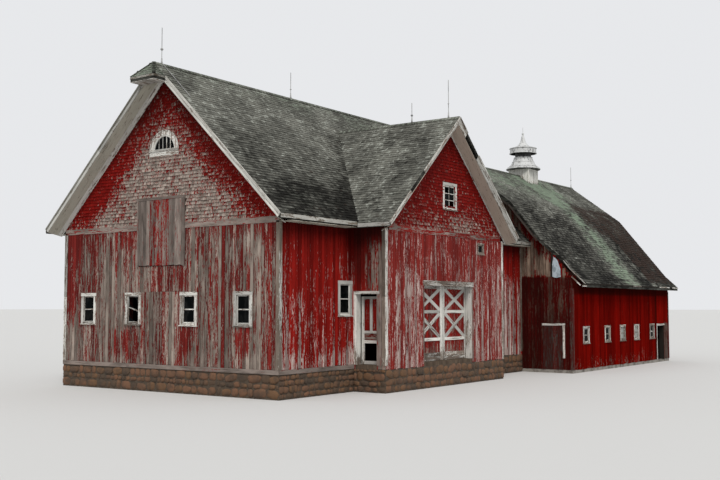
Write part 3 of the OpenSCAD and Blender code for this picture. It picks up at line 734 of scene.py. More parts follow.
@dataclass(frozen=True)
class PaintedWood(Finish):
    """Old paint over weathered wood."""

    paint: Colour = (0.205, 0.0085, 0.006)
    faded: Colour = (0.26, 0.045, 0.036)
    wood: Colour = (0.325, 0.268, 0.228)
    dark_wood: Colour = (0.088, 0.069, 0.056)
    kept: bool = True
    wear: float = 0.35
    gloss: float = 0.7
    shine: float = 0.08
    dirt: float = 0.42
    # The colour that the moss mark mixes in: soot and dirt, and on some walls painted shade.
    soot_and_shade: Colour = (0.020, 0.0035, 0.0025)

    def draw(self, t: Tree) -> dict:
        """Draws paint, thin paint and bare wood by the wear on the points.

        Args:
            t: the material's tree.

        Returns:
            The surface's inputs, with Height as the strength, distance and height of a bump.
        """
        grain = t.grain(self.kept)
        wood = t.group(old_wood(), {"Grain": grain})
        worn = t.mark("wear") if self.kept else self.wear
        loss = t.group(paint_loss(), {"Grain": grain, "Wear": worn})
        tone = t.mark("tone") if self.kept else 0.5
        shade = t.remap(tone, 0.0, 1.0, 0.66, 1.28)
        bare = t.mix(wood["Stain"], self.dark_wood, self.wood)
        bare = t.mix(t.times(wood["Fibre"], 0.40), bare, self.wood)
        bare = t.mix(t.times(wood["Check"], 0.8), bare, (0.012, 0.009, 0.008))
        coat = t.mix(t.times(loss["Thin"], 0.4), self.paint, self.faded)
        coat = t.mix(t.times(wood["Stain"], self.dirt), coat, tuple(c * 0.38 for c in self.paint))
        coat = t.mix(t.times(wood["Check"], 0.5), coat, (0.010, 0.003, 0.003))
        colour = t.mix(loss["Bare"], coat, bare)
        colour = t.make("HueSaturation", {"Color": colour, "Value": shade}).outputs[0]
        if self.kept:
            colour = t.mix(t.times(t.mark("moss"), 0.9), colour, self.soot_and_shade)
        rough = t.remap(loss["Bare"], 0.0, 1.0, self.gloss, 0.9)
        height = t.minus(wood["Height"], t.times(loss["Bare"], 1.1))
        return {"Base Color": colour, "Roughness": rough, "Specular IOR Level": self.shine,
                "Height": (0.5, 0.004, height)}


@dataclass(frozen=True)
class Shakes(Finish):
    """Weathered roof shingles with lichen, moss and stains."""

    dark: Colour = (0.010, 0.0095, 0.008)
    light: Colour = (0.225, 0.225, 0.195)
    lichen: Colour = (0.44, 0.46, 0.41)
    moss: Colour = (0.230, 0.290, 0.215)
    rot: Colour = (0.034, 0.021, 0.016)
    kept: bool = True

    def draw(self, t: Tree) -> dict:
        """Draws each shingle's own tone with growth over it.

        Args:
            t: the material's tree.

        Returns:
            The surface's inputs, with Height as the strength, distance and height of a bump.
        """
        grain = t.grain(self.kept)
        place = t.place()
        wood = t.group(old_wood(), {"Grain": grain})
        tone = t.mark("tone") if self.kept else 0.2
        patch = t.noise(place, (0.45, 0.45, 0.45), 4.0, 0.62)
        rows = t.remap(t.noise(grain, (1.5, 6.5, 0.0), 4.0, 0.7), 0.43, 0.60)
        light = t.plus(t.times(tone, 0.66), t.times(rows, 0.30))
        light = t.plus(light, t.remap(patch, 0.38, 0.64, -0.24, 0.22))
        light = t.times(light, t.remap(tone, 0.0, 0.4, 0.35, 1.0))
        colour = t.mix(light, self.dark, self.light)
        colour = t.mix(t.times(wood["Fibre"], 0.35), colour, self.dark)
        fleck = t.remap(t.noise(place, (5.0, 5.0, 5.0), 5.0, 0.72), 0.52, 0.64)
        pale = t.times(fleck, t.remap(light, 0.3, 0.9, 0.0, 0.85))
        colour = t.mix(pale, colour, self.lichen)
        growth = t.mark("moss") if self.kept else 0.1
        green = t.remap(t.plus(growth, t.times(rows, 0.35)), 0.35, 1.2)
        colour = t.mix(t.times(green, 0.9), colour, self.moss)
        rotten = t.mark("wear") if self.kept else 0.0
        gone = t.remap(t.plus(rotten, t.times(rows, 0.45)), 0.62, 0.95)
        colour = t.mix(t.times(gone, 0.88), colour, self.rot)
        return {"Base Color": colour, "Roughness": 0.92, "Specular IOR Level": 0.1,
                "Height": (0.6, 0.006, wood["Height"])}


@dataclass(frozen=True)
class Rubble(Finish):
    """Fieldstones, or the mortar and concrete between them."""

    colours: tuple[Colour, Colour, Colour] = ((0.130, 0.064, 0.028), (0.150, 0.070, 0.036),
                                              (0.062, 0.039, 0.024))
    kept: bool = True

    def draw(self, t: Tree) -> dict:
        """Draws a colour for each stone with speckles and dirt.

        Args:
            t: the material's tree.

        Returns:
            The surface's inputs, with Height as the strength, distance and height of a bump.
        """
        place = t.place()
        tone = t.mark("tone") if self.kept else t.noise(place, (0.8, 0.8, 0.8), 2.0)
        first, second, third = self.colours
        colour = t.mix(t.remap(tone, 0.15, 0.55), first, second)
        colour = t.mix(t.remap(tone, 0.6, 0.95), colour, third)
        grit = t.noise(place, (60.0, 60.0, 60.0), 5.0, 0.7)
        dirt = t.remap(t.noise(place, (3.0, 3.0, 3.0), 4.0, 0.6), 0.4, 0.7)
        colour = t.mix(t.remap(grit, 0.45, 0.7, 0.0, 0.4), colour, (0.23, 0.15, 0.085))
        colour = t.mix(t.times(dirt, 0.75), colour, (0.045, 0.032, 0.022))
        return {"Base Color": colour, "Roughness": 0.9, "Height": (0.7, 0.012, grit)}


@dataclass(frozen=True)
class OldGlass(Finish):
    """Thin, dusty window glass, coloured near black: painted shade of the dark inside behind it."""

    def draw(self, t: Tree) -> dict:
        """Draws dust in drifts over a near-black pane, painted shade of the inside.

        Args:
            t: the material's tree.

        Returns:
            The surface's inputs, with Height as the strength, distance and height of a bump.
        """
        place = t.place()
        dust = t.remap(t.noise(place, (3.5, 3.5, 2.0), 4.0, 0.6), 0.42, 0.75)
        colour = t.mix(dust, (0.002, 0.003, 0.003), (0.011, 0.012, 0.0115))
        colour = t.mix(t.remap(t.mark("tone"), 0.5, 0.8), colour, (0.30, 0.31, 0.29))
        return {"Base Color": colour, "Roughness": t.remap(dust, 0.0, 1.0, 0.12, 0.5),
                "Specular IOR Level": 0.015}


@dataclass(frozen=True)
class OldMetal(Finish):
    """Iron or painted sheet metal with rust."""

    coat: Colour = (0.40, 0.41, 0.40)
    under: Colour = (0.13, 0.135, 0.135)
    rust: Colour = (0.14, 0.055, 0.025)
    wear: float = 0.4
    rusty: float = 0.35

    def draw(self, t: Tree) -> dict:
        """Draws peeling coat, bare metal and rust that runs down.

        Args:
            t: the material's tree.

        Returns:
            The surface's inputs, with Height as the strength, distance and height of a bump.
        """
        place = t.place()
        peel = t.noise(place, (7.0, 7.0, 3.5), 5.0, 0.65)
        runs = t.noise(place, (11.0, 11.0, 1.2), 4.0, 0.6)
        bare = t.remap(peel, 0.60 - 0.25 * self.wear, 0.66 - 0.25 * self.wear)
        colour = t.mix(bare, self.coat, self.under)
        colour = t.mix(t.remap(runs, 0.62 - 0.3 * self.rusty, 0.85 - 0.3 * self.rusty, 0.0, 0.8), colour,
                       self.rust)
        return {"Base Color": colour, "Roughness": t.remap(bare, 0.0, 1.0, 0.5, 0.62),
                "Metallic": t.remap(bare, 0.0, 1.0, 0.0, 0.4), "Height": (0.3, 0.003, peel)}


RED = PaintedWood("red_boards")
RED_FRONT = PaintedWood("red_boards_front", paint=(0.165, 0.015, 0.012), faded=(0.22, 0.05, 0.04))
RED_DEEP = PaintedWood("red_boards_deep", shine=0.0, paint=(0.170, 0.0035, 0.0018),
                       faded=(0.18, 0.008, 0.005))
# On the near side wall its near-black soot colour is painted shade under the eave.
RED_SIDE = PaintedWood("red_boards_side", shine=0.03, paint=(0.235, 0.010, 0.007), wood=(0.52, 0.42, 0.385),
                       dark_wood=(0.22, 0.15, 0.13), soot_and_shade=(0.024, 0.0010, 0.0008))
# Darker red paint with browner bare wood for the stable front: the darker paint is painted shade.
RED_SHADE = PaintedWood("red_boards_shade", shine=0.03, paint=(0.150, 0.004, 0.003),
                        wood=(0.275, 0.205, 0.155), dark_wood=(0.075, 0.050, 0.036))
RED_PRIMED = PaintedWood("red_boards_primed", paint=(0.20, 0.018, 0.014), wood=(0.52, 0.42, 0.385),
                         dark_wood=(0.22, 0.15, 0.13))
RED_SHINGLES = PaintedWood("red_gable_shingles", shine=0.04, paint=(0.175, 0.007, 0.005),
                           wood=(0.37, 0.312, 0.27), dark_wood=(0.090, 0.068, 0.056))
# Near-black backing: dark in the gaps between the boards, and painted shade on the barn's inside seen through
# its openings.
BACKING_PAINTED_SHADE = PaintedWood("backing_painted_shade", kept=False, wear=0.3, shine=0.0, paint=(0.017, 0.004, 0.003),
                          wood=(0.020, 0.015, 0.012), dark_wood=(0.009, 0.007, 0.006))
WHITE = PaintedWood("white_trim", paint=(0.67, 0.66, 0.615), faded=(0.50, 0.46, 0.40),
                    wood=(0.25, 0.205, 0.17), dark_wood=(0.11, 0.085, 0.068), soot_and_shade=(0.06, 0.055, 0.035))
SOFFIT_MAIN = PaintedWood("soffit_paint_main", dirt=0.16, paint=(0.425, 0.405, 0.34),
                          faded=(0.36, 0.335, 0.28), wood=(0.22, 0.20, 0.165),
                          dark_wood=(0.09, 0.07, 0.055), soot_and_shade=(0.05, 0.055, 0.035))
SOFFIT = PaintedWood("soffit_paint", dirt=0.12, paint=(0.45, 0.385, 0.32), faded=(0.40, 0.335, 0.275),
                     wood=(0.24, 0.20, 0.165), dark_wood=(0.09, 0.07, 0.055), soot_and_shade=(0.06, 0.055, 0.035))
# Its neutral near-black soot colour also paints shade on the stable's eave boards and on the cow door's
# lining.
GREY = PaintedWood("bare_boards", wood=(0.25, 0.205, 0.18), dark_wood=(0.095, 0.078, 0.067),
                   soot_and_shade=(0.012, 0.010, 0.008))
ROOF = Shakes("roof_shingles")
ROOF_DECK = Shakes("roof_deck", kept=False)
STONE = Rubble("fieldstone")
MORTAR = Rubble("mortar", colours=((0.050, 0.036, 0.025), (0.065, 0.047, 0.032), (0.038, 0.029, 0.021)),
                kept=False)
CONCRETE = Rubble("concrete", colours=((0.24, 0.23, 0.21), (0.28, 0.265, 0.24), (0.19, 0.18, 0.165)),
                  kept=False)
PLANKS = PaintedWood("floor_planks", kept=False, wear=1.0, wood=(0.14, 0.105, 0.075),
                     dark_wood=(0.05, 0.036, 0.027))
GLASS = OldGlass("window_glass")
IRON = OldMetal("rusty_iron", coat=(0.05, 0.045, 0.042), under=(0.06, 0.05, 0.045), rusty=1.0)
ROD = OldMetal("rod_metal", coat=(0.36, 0.36, 0.35), under=(0.25, 0.25, 0.25), rusty=-0.1)
# Near-black sheet: painted shade inside and under the ventilator.
VENT_SHADE = OldMetal("vent_painted_shade", coat=(0.022, 0.022, 0.021), under=(0.03, 0.03, 0.028), rusty=-0.2)
TIN = OldMetal("torn_tin", coat=(0.46, 0.53, 0.58), under=(0.30, 0.36, 0.40), wear=0.3, rusty=-0.2)
VENT = OldMetal("vent_sheet", coat=(0.58, 0.585, 0.58), under=(0.24, 0.24, 0.235), wear=0.25, rusty=-0.2)


@dataclass
class Siding:
    """Upright boards on one wall face, from start along it."""

    face: Face
    start: float
    width: float
    foot: Curve
    top: Curve
    wear: Field
    holes: list[Rect] = field(default_factory=list)
    board_w: float = 0.165
    proud: float = 0.006
    ragged: float = 0.02
    groove: float = 0.016
    # Darkening mixed into the boards: dirt, and on some walls painted shade under eaves and in corners.
    grime_and_shade: Field | float = 0.0
    step: float = 0.35
    stripes: bool = False

    def spans(self, u0: float, u1: float, low: float, high: float) -> list[Rect]:
        """The stretches of one board that no hole takes.

        Args:
            u0: the board's near edge.
            u1: its far edge.
            low: its foot.
            high: its top.

        Returns:
            Rectangles as near edge, far edge, foot and top.
        """
        edges = (z for h in self.holes if h[0] < u1 and h[1] > u0 for z in h[2:])
        cuts = sorted({low, high, *(z for z in edges if low < z < high)})
        found: list[Rect] = []
        for z0, z1 in zip(cuts, cuts[1:]):
            free = [(u0, u1)]
            for h in self.holes:
                if h[2] < z1 - 1e-6 and h[3] > z0 + 1e-6:
                    sides = [pair for p, q in free for pair in ((p, min(q, h[0])), (max(p, h[1]), q))]
                    free = [(a, b) for a, b in sides if b - a > 0.01]
            for a, b in free:
                if found and found[-1][:2] == (a, b) and abs(found[-1][3] - z0) < 1e-6:
                    found[-1] = (a, b, found[-1][2], z1)
                else:
                    found.append((a, b, z0, z1))
        return found

    def lay(self, heap: Heap) -> None:
        """Nails the boards on.

        Args:
            heap: where they go.
        """
        rng = heap.rng
        count = max(1, round(self.width / self.board_w))
        edges = np.linspace(0, self.width, count + 1)
        edges[1:-1] += rng.uniform(-0.02, 0.02, count - 1)
        edges += self.start
        for a, b in zip(edges, edges[1:]):
            low = float(self.foot((a + b) / 2)) + rng.uniform(-self.ragged, self.ragged)
            high = float(self.top((a + b) / 2))
            thick = self.proud + rng.uniform(0, 0.008)
            gap = self.groove * rng.uniform(0.7, 1.5)
            bias = 1 + rng.normal(0, 0.38)
            tone = 0.25 + 0.75 * rng.random() if self.stripes else None
            if high - low < 0.02:
                continue
            for u0, u1, z0, z1 in self.spans(a, b, low, high):
                heap.post(self.face, (u0 + u1) / 2, (z0, z1), u1 - u0 - gap, thick,
                          lambda p: self.wear(p) * bias, tone=tone, step=self.step, moss=self.grime_and_shade)


@dataclass
class Shingled:
    """Courses of shingles on one flat slope or wall."""

    corner: Points
    along: Points
    up: Points
    out: Points
    width: float
    height: float
    keep: Callable[[Points], np.ndarray]
    wear: Field
    moss: Field
    exposure: float = 0.155
    shingle_w: float = 0.16
    butt: float = 0.020
    rough: float = 0.5
    contrast: float = 0.52
    shade: Field = even(0.0)
    # edge: each shingle's butt is lighter and its head darker by this much, painted shadow under the next
    # course; the butt also loses more paint.
    edge: float = 0.34
    flake: float = 0.13
    fine: float = 1.0
    gap: float = 0.003
    lap: float = 1.25

    def courses(self, rng: np.random.Generator) -> list[Points]:
        """Cuts every course into shingles.

        Args:
            rng: its random draws.

        Returns:
            The near edge, far edge and foot of each shingle.
        """
        rows = []
        count = max(2, round(self.width / self.shingle_w))
        for row in range(math.ceil(self.height / self.exposure)):
            widths = rng.uniform(0.55, 1.45, count)
            edges = np.concatenate([[0], np.cumsum(widths)]) / widths.sum() * self.width
            rows.append((edges[:-1], edges[1:],
                         row * self.exposure + rng.normal(0, 0.006 * self.rough, count)))
        return [np.concatenate(part) for part in zip(*rows)]

    def lay(self, heap: Heap) -> None:
        """Lays the courses from the foot up.

        Args:
            heap: where they go.
        """
        rng = heap.rng
        left, right, foot = self.courses(rng)
        centre = (self.corner + np.outer((left + right) / 2, self.along)
                  + np.outer(foot + self.exposure / 2, self.up))
        kept = self.keep(centre)
        left, right, foot, centre = left[kept] + self.gap, right[kept] - self.gap, foot[kept], centre[kept]
        n = len(left)
        butt = self.butt * rng.uniform(0.7, 1.3, n) + self.rough * np.where(rng.random(n) < 0.05, 0.012, 0.0)
        head = np.minimum(foot + self.exposure * self.lap, self.height)
        foot = np.maximum(foot, 0.0)
        flush = np.zeros(n)
        corners = [(left, foot, flush), (right, foot, flush), (left, foot, butt), (right, foot, butt),
                   (left, head, flush), (right, head, flush)]
        points = np.stack([self.corner + np.outer(u, self.along) + np.outer(v, self.up)
                           + np.outer(h, self.out) for u, v, h in corners], 1).reshape(-1, 3)
        first = np.arange(n)[:, None] * 6
        quads = np.concatenate([first + q for q in ([2, 3, 5, 4], [0, 1, 3, 2], [1, 0, 4, 5])])
        tris = np.concatenate([first + q for q in ([0, 2, 4], [3, 1, 5])])
        if np.dot(np.cross(self.along, self.up), self.out) < 0:
            quads, tris = quads[:, ::-1], tris[:, ::-1]
        # Lighter at each butt and darker towards the head: painted shadow of the next course. The same step
        # wears more paint off the butt.
        course_shade_and_wear = np.tile([1.0, 1.0, 1.0, 1.0, -1.0, -1.0], n) * self.edge
        tone = np.repeat(0.5 + (rng.random(n) - 0.5) * self.contrast + self.shade(centre), 6) + course_shade_and_wear
        shift = rng.uniform(0, 60, n)
        grain = np.stack([np.stack([u, v * self.fine, shift], 1) for u, v, _ in corners], 1).reshape(-1, 3)
        lost = np.repeat(self.wear(centre) + rng.normal(0, self.flake, n), 6) + course_shade_and_wear * 0.5
        heap.add(points, [quads, tris], grain, np.clip(lost, 0, 1), np.clip(tone, 0, 1),
                 np.repeat(self.moss(centre), 6))


@dataclass(frozen=True)
class Opening:
    """A window: the wall face, the middle of its foot, its size and how it stands now."""

    face: Face
    u: float
    z: float
    w: float
    h: float
    casing: float = 0.12
    bars: tuple[int, int] = (1, 2)
    wear: float = 0.25
    broken: tuple[int, ...] = ()
    tilt: float = 0.0
    blind: bool = False

    @property
    def sides(self) -> Pair:
        """Its two upright edges."""
        return (self.u - self.w / 2, self.u + self.w / 2)

    @property
    def hole(self) -> Rect:
        """The hole that its boards leave."""
        return (*self.sides, self.z, self.z + self.h)


FRONT = Face(vec(0, 0, 0), Y, -X)
NEAR = Face(vec(0, 0, 0), X, -Y)
FAR = Face(vec(0, PLAN.width, 0), X, Y)
REAR = Face(vec(PLAN.length, 0, 0), Y, X)
WING_LEFT = Face(vec(PLAN.wing_x0, 0, 0), Y, -X)
WING_RIGHT = Face(vec(PLAN.wing_x1, 0, 0), Y, X)
WING_GABLE = Face(vec(0, -PLAN.wing_out, 0), X, -Y)
STABLE_FRONT = Face(vec(PLAN.length, 0, 0), Y, -X)
STABLE_NEAR = Face(vec(0, PLAN.stable_y0, 0), X, -Y)
STABLE_FAR = Face(vec(0, PLAN.stable_y1, 0), X, Y)
STABLE_REAR = Face(vec(PLAN.stable_x1, 0, 0), Y, X)

FRONT_WINDOWS = [Opening(FRONT, y, 1.53, 0.62, 1.02, wear=w, broken=b, tilt=t) for y, w, b, t in (
    (1.63, 0.2, (), 0.0), (4.27, 0.3, (), 0.0), (7.21, 0.45, (0, 1), 14.0), (9.77, 0.3, (), 0.0))]
SIDE_WINDOW = Opening(NEAR, 3.73, 1.87, 0.62, 1.10, wear=0.06)
FAR_WINDOWS = [Opening(FAR, x, 1.53, 0.62, 1.02) for x in (3.0, 7.0, 11.0, 15.0)]
GABLE_WINDOW = Opening(WING_GABLE, 8.93, 6.11, 0.86, 0.9, bars=(2, 3), wear=0.15, broken=(1, 4))
LOFT_WINDOW = Opening(WING_GABLE, 11.49, 4.39, 0.44, 0.36, casing=0.06, bars=(1, 1), wear=0.66)
STABLE_WINDOWS = [Opening(STABLE_NEAR, PLAN.length + x, 0.43, 0.56, 0.66, casing=0.10, wear=w, blind=b)
                  for x, w, b in ((1.56, 0.4, False), (4.29, 0.55, False), (6.4, 0.6, True),
                                  (8.43, 0.45, True), (10.9, 0.6, False))]
STABLE_FAR_WINDOWS = [replace(w, face=STABLE_FAR) for w in STABLE_WINDOWS]
WINDOWS = [*FRONT_WINDOWS, SIDE_WINDOW, *FAR_WINDOWS, GABLE_WINDOW, LOFT_WINDOW, *STABLE_WINDOWS,
           *STABLE_FAR_WINDOWS]
WAGON: Rect = (6.92, 10.69, -1.0, 2.95)
ENTRY: Rect = (-1.043, -0.093, -1.0, 2.60)
COW_DOOR: Rect = (30.0, 31.18, -1.0, 1.06)
HAY: Rect = (4.485, 7.005, 3.64, 6.22)
PATCH: Rect = (4.56, 6.82, 2.69, 3.64)
SHUT_DOOR: Rect = (-2.14, -1.13, -0.84, 1.24)


@dataclass
class Walls:
    """Siding and gable shingles on every outside wall."""

    rake_gap: float = 0.42
    fan_reach: float = 0.62
    fan_drop: float = 0.065

    def front_wear(self, p: Points) -> Points:
        """The weather front: mostly bare, with red kept under the band, at the left and under two windows.

        Args:
            p: points on the cover.

        Returns:
            Lost paint at each, where 0 is none and 1 is all.
        """
        _, y, z = p.T
        w = 0.64 + 0.12 * drift(p, 0.5)
        w -= 0.34 * ramp(z, 3.9, 4.9) * ramp(y, 5.5, 7.5)
        w -= 0.26 * ramp(z, 4.2, 5.0) * fade(y, 3.5, 4.5)
        w -= 0.46 * ramp(y, 10.0, 10.7) * ramp(z, 1.0, 2.2)
        w -= 0.50 * spot(y, z, (4.35, 0.95), (0.55, 0.75))
        w -= 0.38 * spot(y, z, (1.6, 0.95), (0.55, 0.7))
        w += 0.34 * fade(y, 0.34, 0.62) * fade(z, 4.2, 4.7)
        return w - 0.22 * spot(y, z, (7.3, 0.7), (1.5, 0.9))

    def gable_wear(self, p: Points) -> Points:
        """Gable shingles: bare in the middle and low down, red under the rakes.

        Args:
            p: points on the cover.

        Returns:
            Lost paint at each, where 0 is none and 1 is all.
        """
        _, y, z = p.T
        inside = (PLAN.main_top(y) - 0.5 - z) * 0.72
        w = 0.05 + (0.68 + 0.25 * drift(p, 2.6)) * ramp(inside, 0.4, 1.7) * fade(z, 8.5, 9.6)
        w -= 0.36 * ramp(y, 7.4, 9.2) * ramp(z, 5.4, 6.3)
        return w + 0.12 * drift(p, 1.1)

    def gable_rake_darkening(self, p: Points) -> Points:
        """Darker close under the rakes.

        Args:
            p: points on the cover.

        Returns:
            Darkening at each, from 0 to 1.
        """
        gap = PLAN.main_top(p[:, 1]) - p[:, 2]
        close = np.where(p[:, 1] < -0.5, PLAN.wing_top(p[:, 0]) - p[:, 2], gap)
        return 0.66 * fade(close, 0.45, 1.7) * ramp(p[:, 2], 6.5, 9.5) + 0.3 * fade(close, 0.4, 0.9)

    def eave_and_corner_shade(self, p: Points) -> Points:
        """Painted shade under the eaves and in the inside corner by the wing.

        Args:
            p: points on the cover.

        Returns:
            Painted shade at each, from 0 to 1.
        """
        x, y, z = p.T
        corner = fade(np.abs(x - PLAN.wing_x0), 0.1, 1.1) * ramp(z, 2.4, 3.8) * ramp(y, -1.6, -0.2)
        return np.clip(0.95 * ramp(z, 4.35, 4.95) + 0.7 * corner, 0, 0.97)

    def stable_front_shade_and_dirt(self, p: Points) -> Points:
        """Painted shade and dirt low down on the stable front."""
        low = fade(p[:, 2], 3.52, 3.62)
        return np.clip(0.08 + (0.80 + 0.3 * drift(p, 0.9)) * low, 0, 0.97)

    def long_wall_shade_and_grime(self, p: Points) -> Points:
        """The stable's near wall: painted shade under its eave, dark at one open joint and low by the rear
        corner, and somewhat darker all over.

        Args:
            p: points on the cover.

        Returns:
            Darkening at each, from 0 to 1.
        """
        x, _, z = p.T
        joint = fade(np.abs(x - 29.77), 0.02, 0.10)
        post = 0.55 * ramp(x, 31.14, 31.22) * fade(z, 1.05, 1.3)
        return np.clip(0.95 * ramp(z, 2.62, 2.86) + 0.8 * joint + post + 0.16 + 0.2 * drift(p, 0.6), 0, 0.95)

    def side_wear(self, p: Points) -> Points:
        """The sheltered side wall keeps its red, apart from its foot.

        Args:
            p: points on the cover.

        Returns:
            Lost paint at each, where 0 is none and 1 is all.
        """
        x, _, z = p.T
        low = 0.34 * fade(z, 0.1, 0.9) + 0.24 * fade(z, 1.6, 3.5) * (1 - 0.6 * ramp(x, 1.8, 2.8))
        w = 0.01 + 0.07 * fade(z, 3.2, 4.6) + low + 0.06 * drift(p, 0.7)
        return w + 0.42 * ramp(x, 13.4, 14.0) * fade(z, 2.6, 3.9)

    def wing_wear(self, p: Points) -> Points:
        """Wing gable: bare stripes low at the left and at the right of the wagon doors.

        Args:
            p: points on the cover.

        Returns:
            Lost paint at each, where 0 is none and 1 is all.
        """
        x, _, z = p.T
        w = 0.21 + 0.08 * drift(p, 0.6) - 0.05 * ramp(z, 3.4, 4.4)
        w += 0.30 * fade(x, 6.2, 6.9) * fade(z, 2.9, 3.7) * ramp(x, 4.7, 5.1)
        return w + 0.19 * ramp(x, 10.6, 11.0) * fade(z, 2.6, 4.3)

    def wing_gable_wear(self, p: Points) -> Points:
        """Wing gable shingles: red, with flakes gone over the band and under the window.

        Args:
            p: points on the cover.

        Returns:
            Lost paint at each, where 0 is none and 1 is all.
        """
        x, _, z = p.T
        w = 0.02 + 0.18 * fade(z, 5.3, 6.2) + 0.34 * spot(x, z, (9.9, 5.5), (1.3, 0.6))
        return w - 0.22 * ramp(z, 5.9, 7.4) + 0.06 * drift(p, 1.3)

    def wing_left_wear(self, p: Points) -> Points:
        """The wing's narrow wall: dark red above, bare beside and over the door."""
        _, y, z = p.T
        return 0.06 + 0.54 * fade(z, 4.2, 4.9) * fade(y, -0.85, -0.5) + 0.1 * drift(p, 0.8)

    def stable_front_wear(self, p: Points) -> Points:
        """Stable front: bare over an old roof line, red under the rake, streaked dark red below.

        Args:
            p: points on the cover.

        Returns:
            Lost paint at each, where 0 is none and 1 is all.
        """
        _, y, z = p.T
        rake = PLAN.stable_top(y) - z + 0.25 * drift(p, 1.6)
        streaks = ramp(drift(p * vec(1, 3, 0.3), 1.0), 0.0, 0.3) * fade(y, -1.4, -1.0)
        w = 0.20 + 0.14 * drift(p, 0.9) + 0.36 * streaks
        near = 0.85 - 0.4 * ramp(z, 5.2, 6.6)
        return w + 0.75 * ramp(z, 3.58, 3.66) * ramp(rake - near, 0.0, 0.3)

    def stable_wear(self, p: Points) -> Points:
        """The stable's long walls keep nearly all their red.

        Args:
            p: points on the cover.

        Returns:
            Lost paint at each, where 0 is none and 1 is all.
        """
        x, _, z = p.T
        post = 0.85 * ramp(x, 31.14, 31.22) * fade(z, 1.05, 1.3)
        return -0.02 + 0.16 * fade(z, -0.8, 0.0) + 0.05 * drift(p, 0.7) + post

    def exposed_wear(self, p: Points) -> Points:
        """Far and rear walls, worn from the foot up."""
        return 0.36 + 0.22 * fade(p[:, 2], 0.5, 3.5) + 0.12 * drift(p, 0.4)

    def sidings(self) -> dict[str, list[Siding]]:
        """Every run of upright boards, by piece.

        Returns:
            The runs that make up each piece.
        """
        p = PLAN
        sill, foot = level(p.sill_z), level(p.footing_z)
        soffit, plate = level(p.eave_z + 0.2), level(p.stable_plate_z)
        wing_w, stable_w, stable_d = p.wing_x1 - p.wing_x0, p.stable_x1 - p.length, p.stable_y1 - p.stable_y0

        def over_stable(y: Points) -> Points:
            """The foot of the main rear wall."""
            return np.where(y < p.stable_mid + p.stable_eave[0], p.stable_top(y) + 0.02, p.sill_z)

        def over_main(y: Points) -> Points:
            """The foot of the stable's front wall."""
            return np.where(y > 0, p.main_top(y) + 0.02, p.footing_z)

        def under_main(y: Points) -> Points:
            """The underside of the main roof."""
            return p.main_top(y) - p.roof_t - 0.01

        def under_stable(y: Points) -> Points:
            """The underside of the gambrel roof."""
            return p.stable_top(y) - p.roof_t - 0.01

        def patch_wear(q: Points) -> Points:
            """The boards below the hay door are newer."""
            return self.front_wear(q) - 0.12

        return {
            "front_boards": [
                Siding(FRONT, 0, p.width, level(0.0), level(p.band_z), self.front_wear,
                       [*(w.hole for w in FRONT_WINDOWS), HAY, PATCH]),
                Siding(FRONT, PATCH[0], PATCH[1] - PATCH[0], level(PATCH[2]), level(PATCH[3]), patch_wear,
                       proud=0.002, board_w=0.19)],
            "near_side_boards": [
                Siding(NEAR, 0, p.wing_x0, level(0.0), soffit, self.side_wear, [SIDE_WINDOW.hole],
                       grime_and_shade=self.eave_and_corner_shade),
                Siding(NEAR, p.wing_x1, p.length - p.wing_x1, sill, soffit, self.side_wear, ragged=0.03,
                       grime_and_shade=self.eave_and_corner_shade)],
            "wing_boards": [
                Siding(WING_GABLE, p.wing_x0, wing_w, sill, level(p.wing_band_z), self.wing_wear,
                       [WAGON, LOFT_WINDOW.hole], stripes=True)],
            "wing_side_boards": [
                Siding(WING_LEFT, -p.wing_out, p.wing_out, sill, soffit, self.wing_left_wear, [ENTRY],
                       grime_and_shade=self.eave_and_corner_shade),
                Siding(WING_RIGHT, -p.wing_out, p.wing_out, sill, soffit, self.exposed_wear)],
            "far_side_boards": [
                Siding(FAR, 0, p.length, sill, soffit, self.exposed_wear, [w.hole for w in FAR_WINDOWS])],
            "rear_boards": [
                Siding(REAR, 0, p.width, over_stable, under_main, self.exposed_wear, ragged=0.0)],
            "stable_front_boards": [
                Siding(STABLE_FRONT, p.stable_y0, 6.3, over_main, under_stable, self.stable_front_wear,
                       [SHUT_DOOR], ragged=0.0, grime_and_shade=self.stable_front_shade_and_dirt, step=0.1)],
            "stable_side_boards": [
                Siding(STABLE_NEAR, p.length, stable_w, foot, plate, self.stable_wear,
                       [*(w.hole for w in STABLE_WINDOWS), COW_DOOR], groove=0.007, step=0.12, board_w=0.2,
                       proud=0.004, grime_and_shade=self.long_wall_shade_and_grime),
                Siding(STABLE_FAR, p.length, stable_w, foot, plate, self.exposed_wear,
                       [w.hole for w in STABLE_FAR_WINDOWS], board_w=0.2)],
            "stable_rear_boards": [
                Siding(STABLE_REAR, p.stable_y0, stable_d, foot, under_stable, self.exposed_wear, board_w=0.2,
                       ragged=0.0)],
        }

    def on_front_gable(self, q: Points) -> np.ndarray:
        """Whether points of the front gable are under the rakes and off its window and hay door.

        Args:
            q: the points.

        Returns:
            One truth value for each point.
        """
        _, y, z = q.T
        fan = (np.hypot(y - PLAN.mid, z - PLAN.fan_z) < self.fan_reach) & (z > PLAN.fan_z - self.fan_drop)
        hay = (y > HAY[0]) & (y < HAY[1]) & (z < HAY[3])
        return (z < PLAN.main_top(y) - self.rake_gap) & ~fan & ~hay

    def on_wing_gable(self, q: Points) -> np.ndarray:
        """Whether points of the wing's gable are under the rakes and clear of its window.

        Args:
            q: the points.

        Returns:
            One truth value for each point.
        """
        x, _, z = q.T
        x0, x1, z0, z1 = GABLE_WINDOW.hole
        return (z < PLAN.wing_top(x) - self.rake_gap) & ~((x > x0) & (x < x1) & (z > z0) & (z < z1))

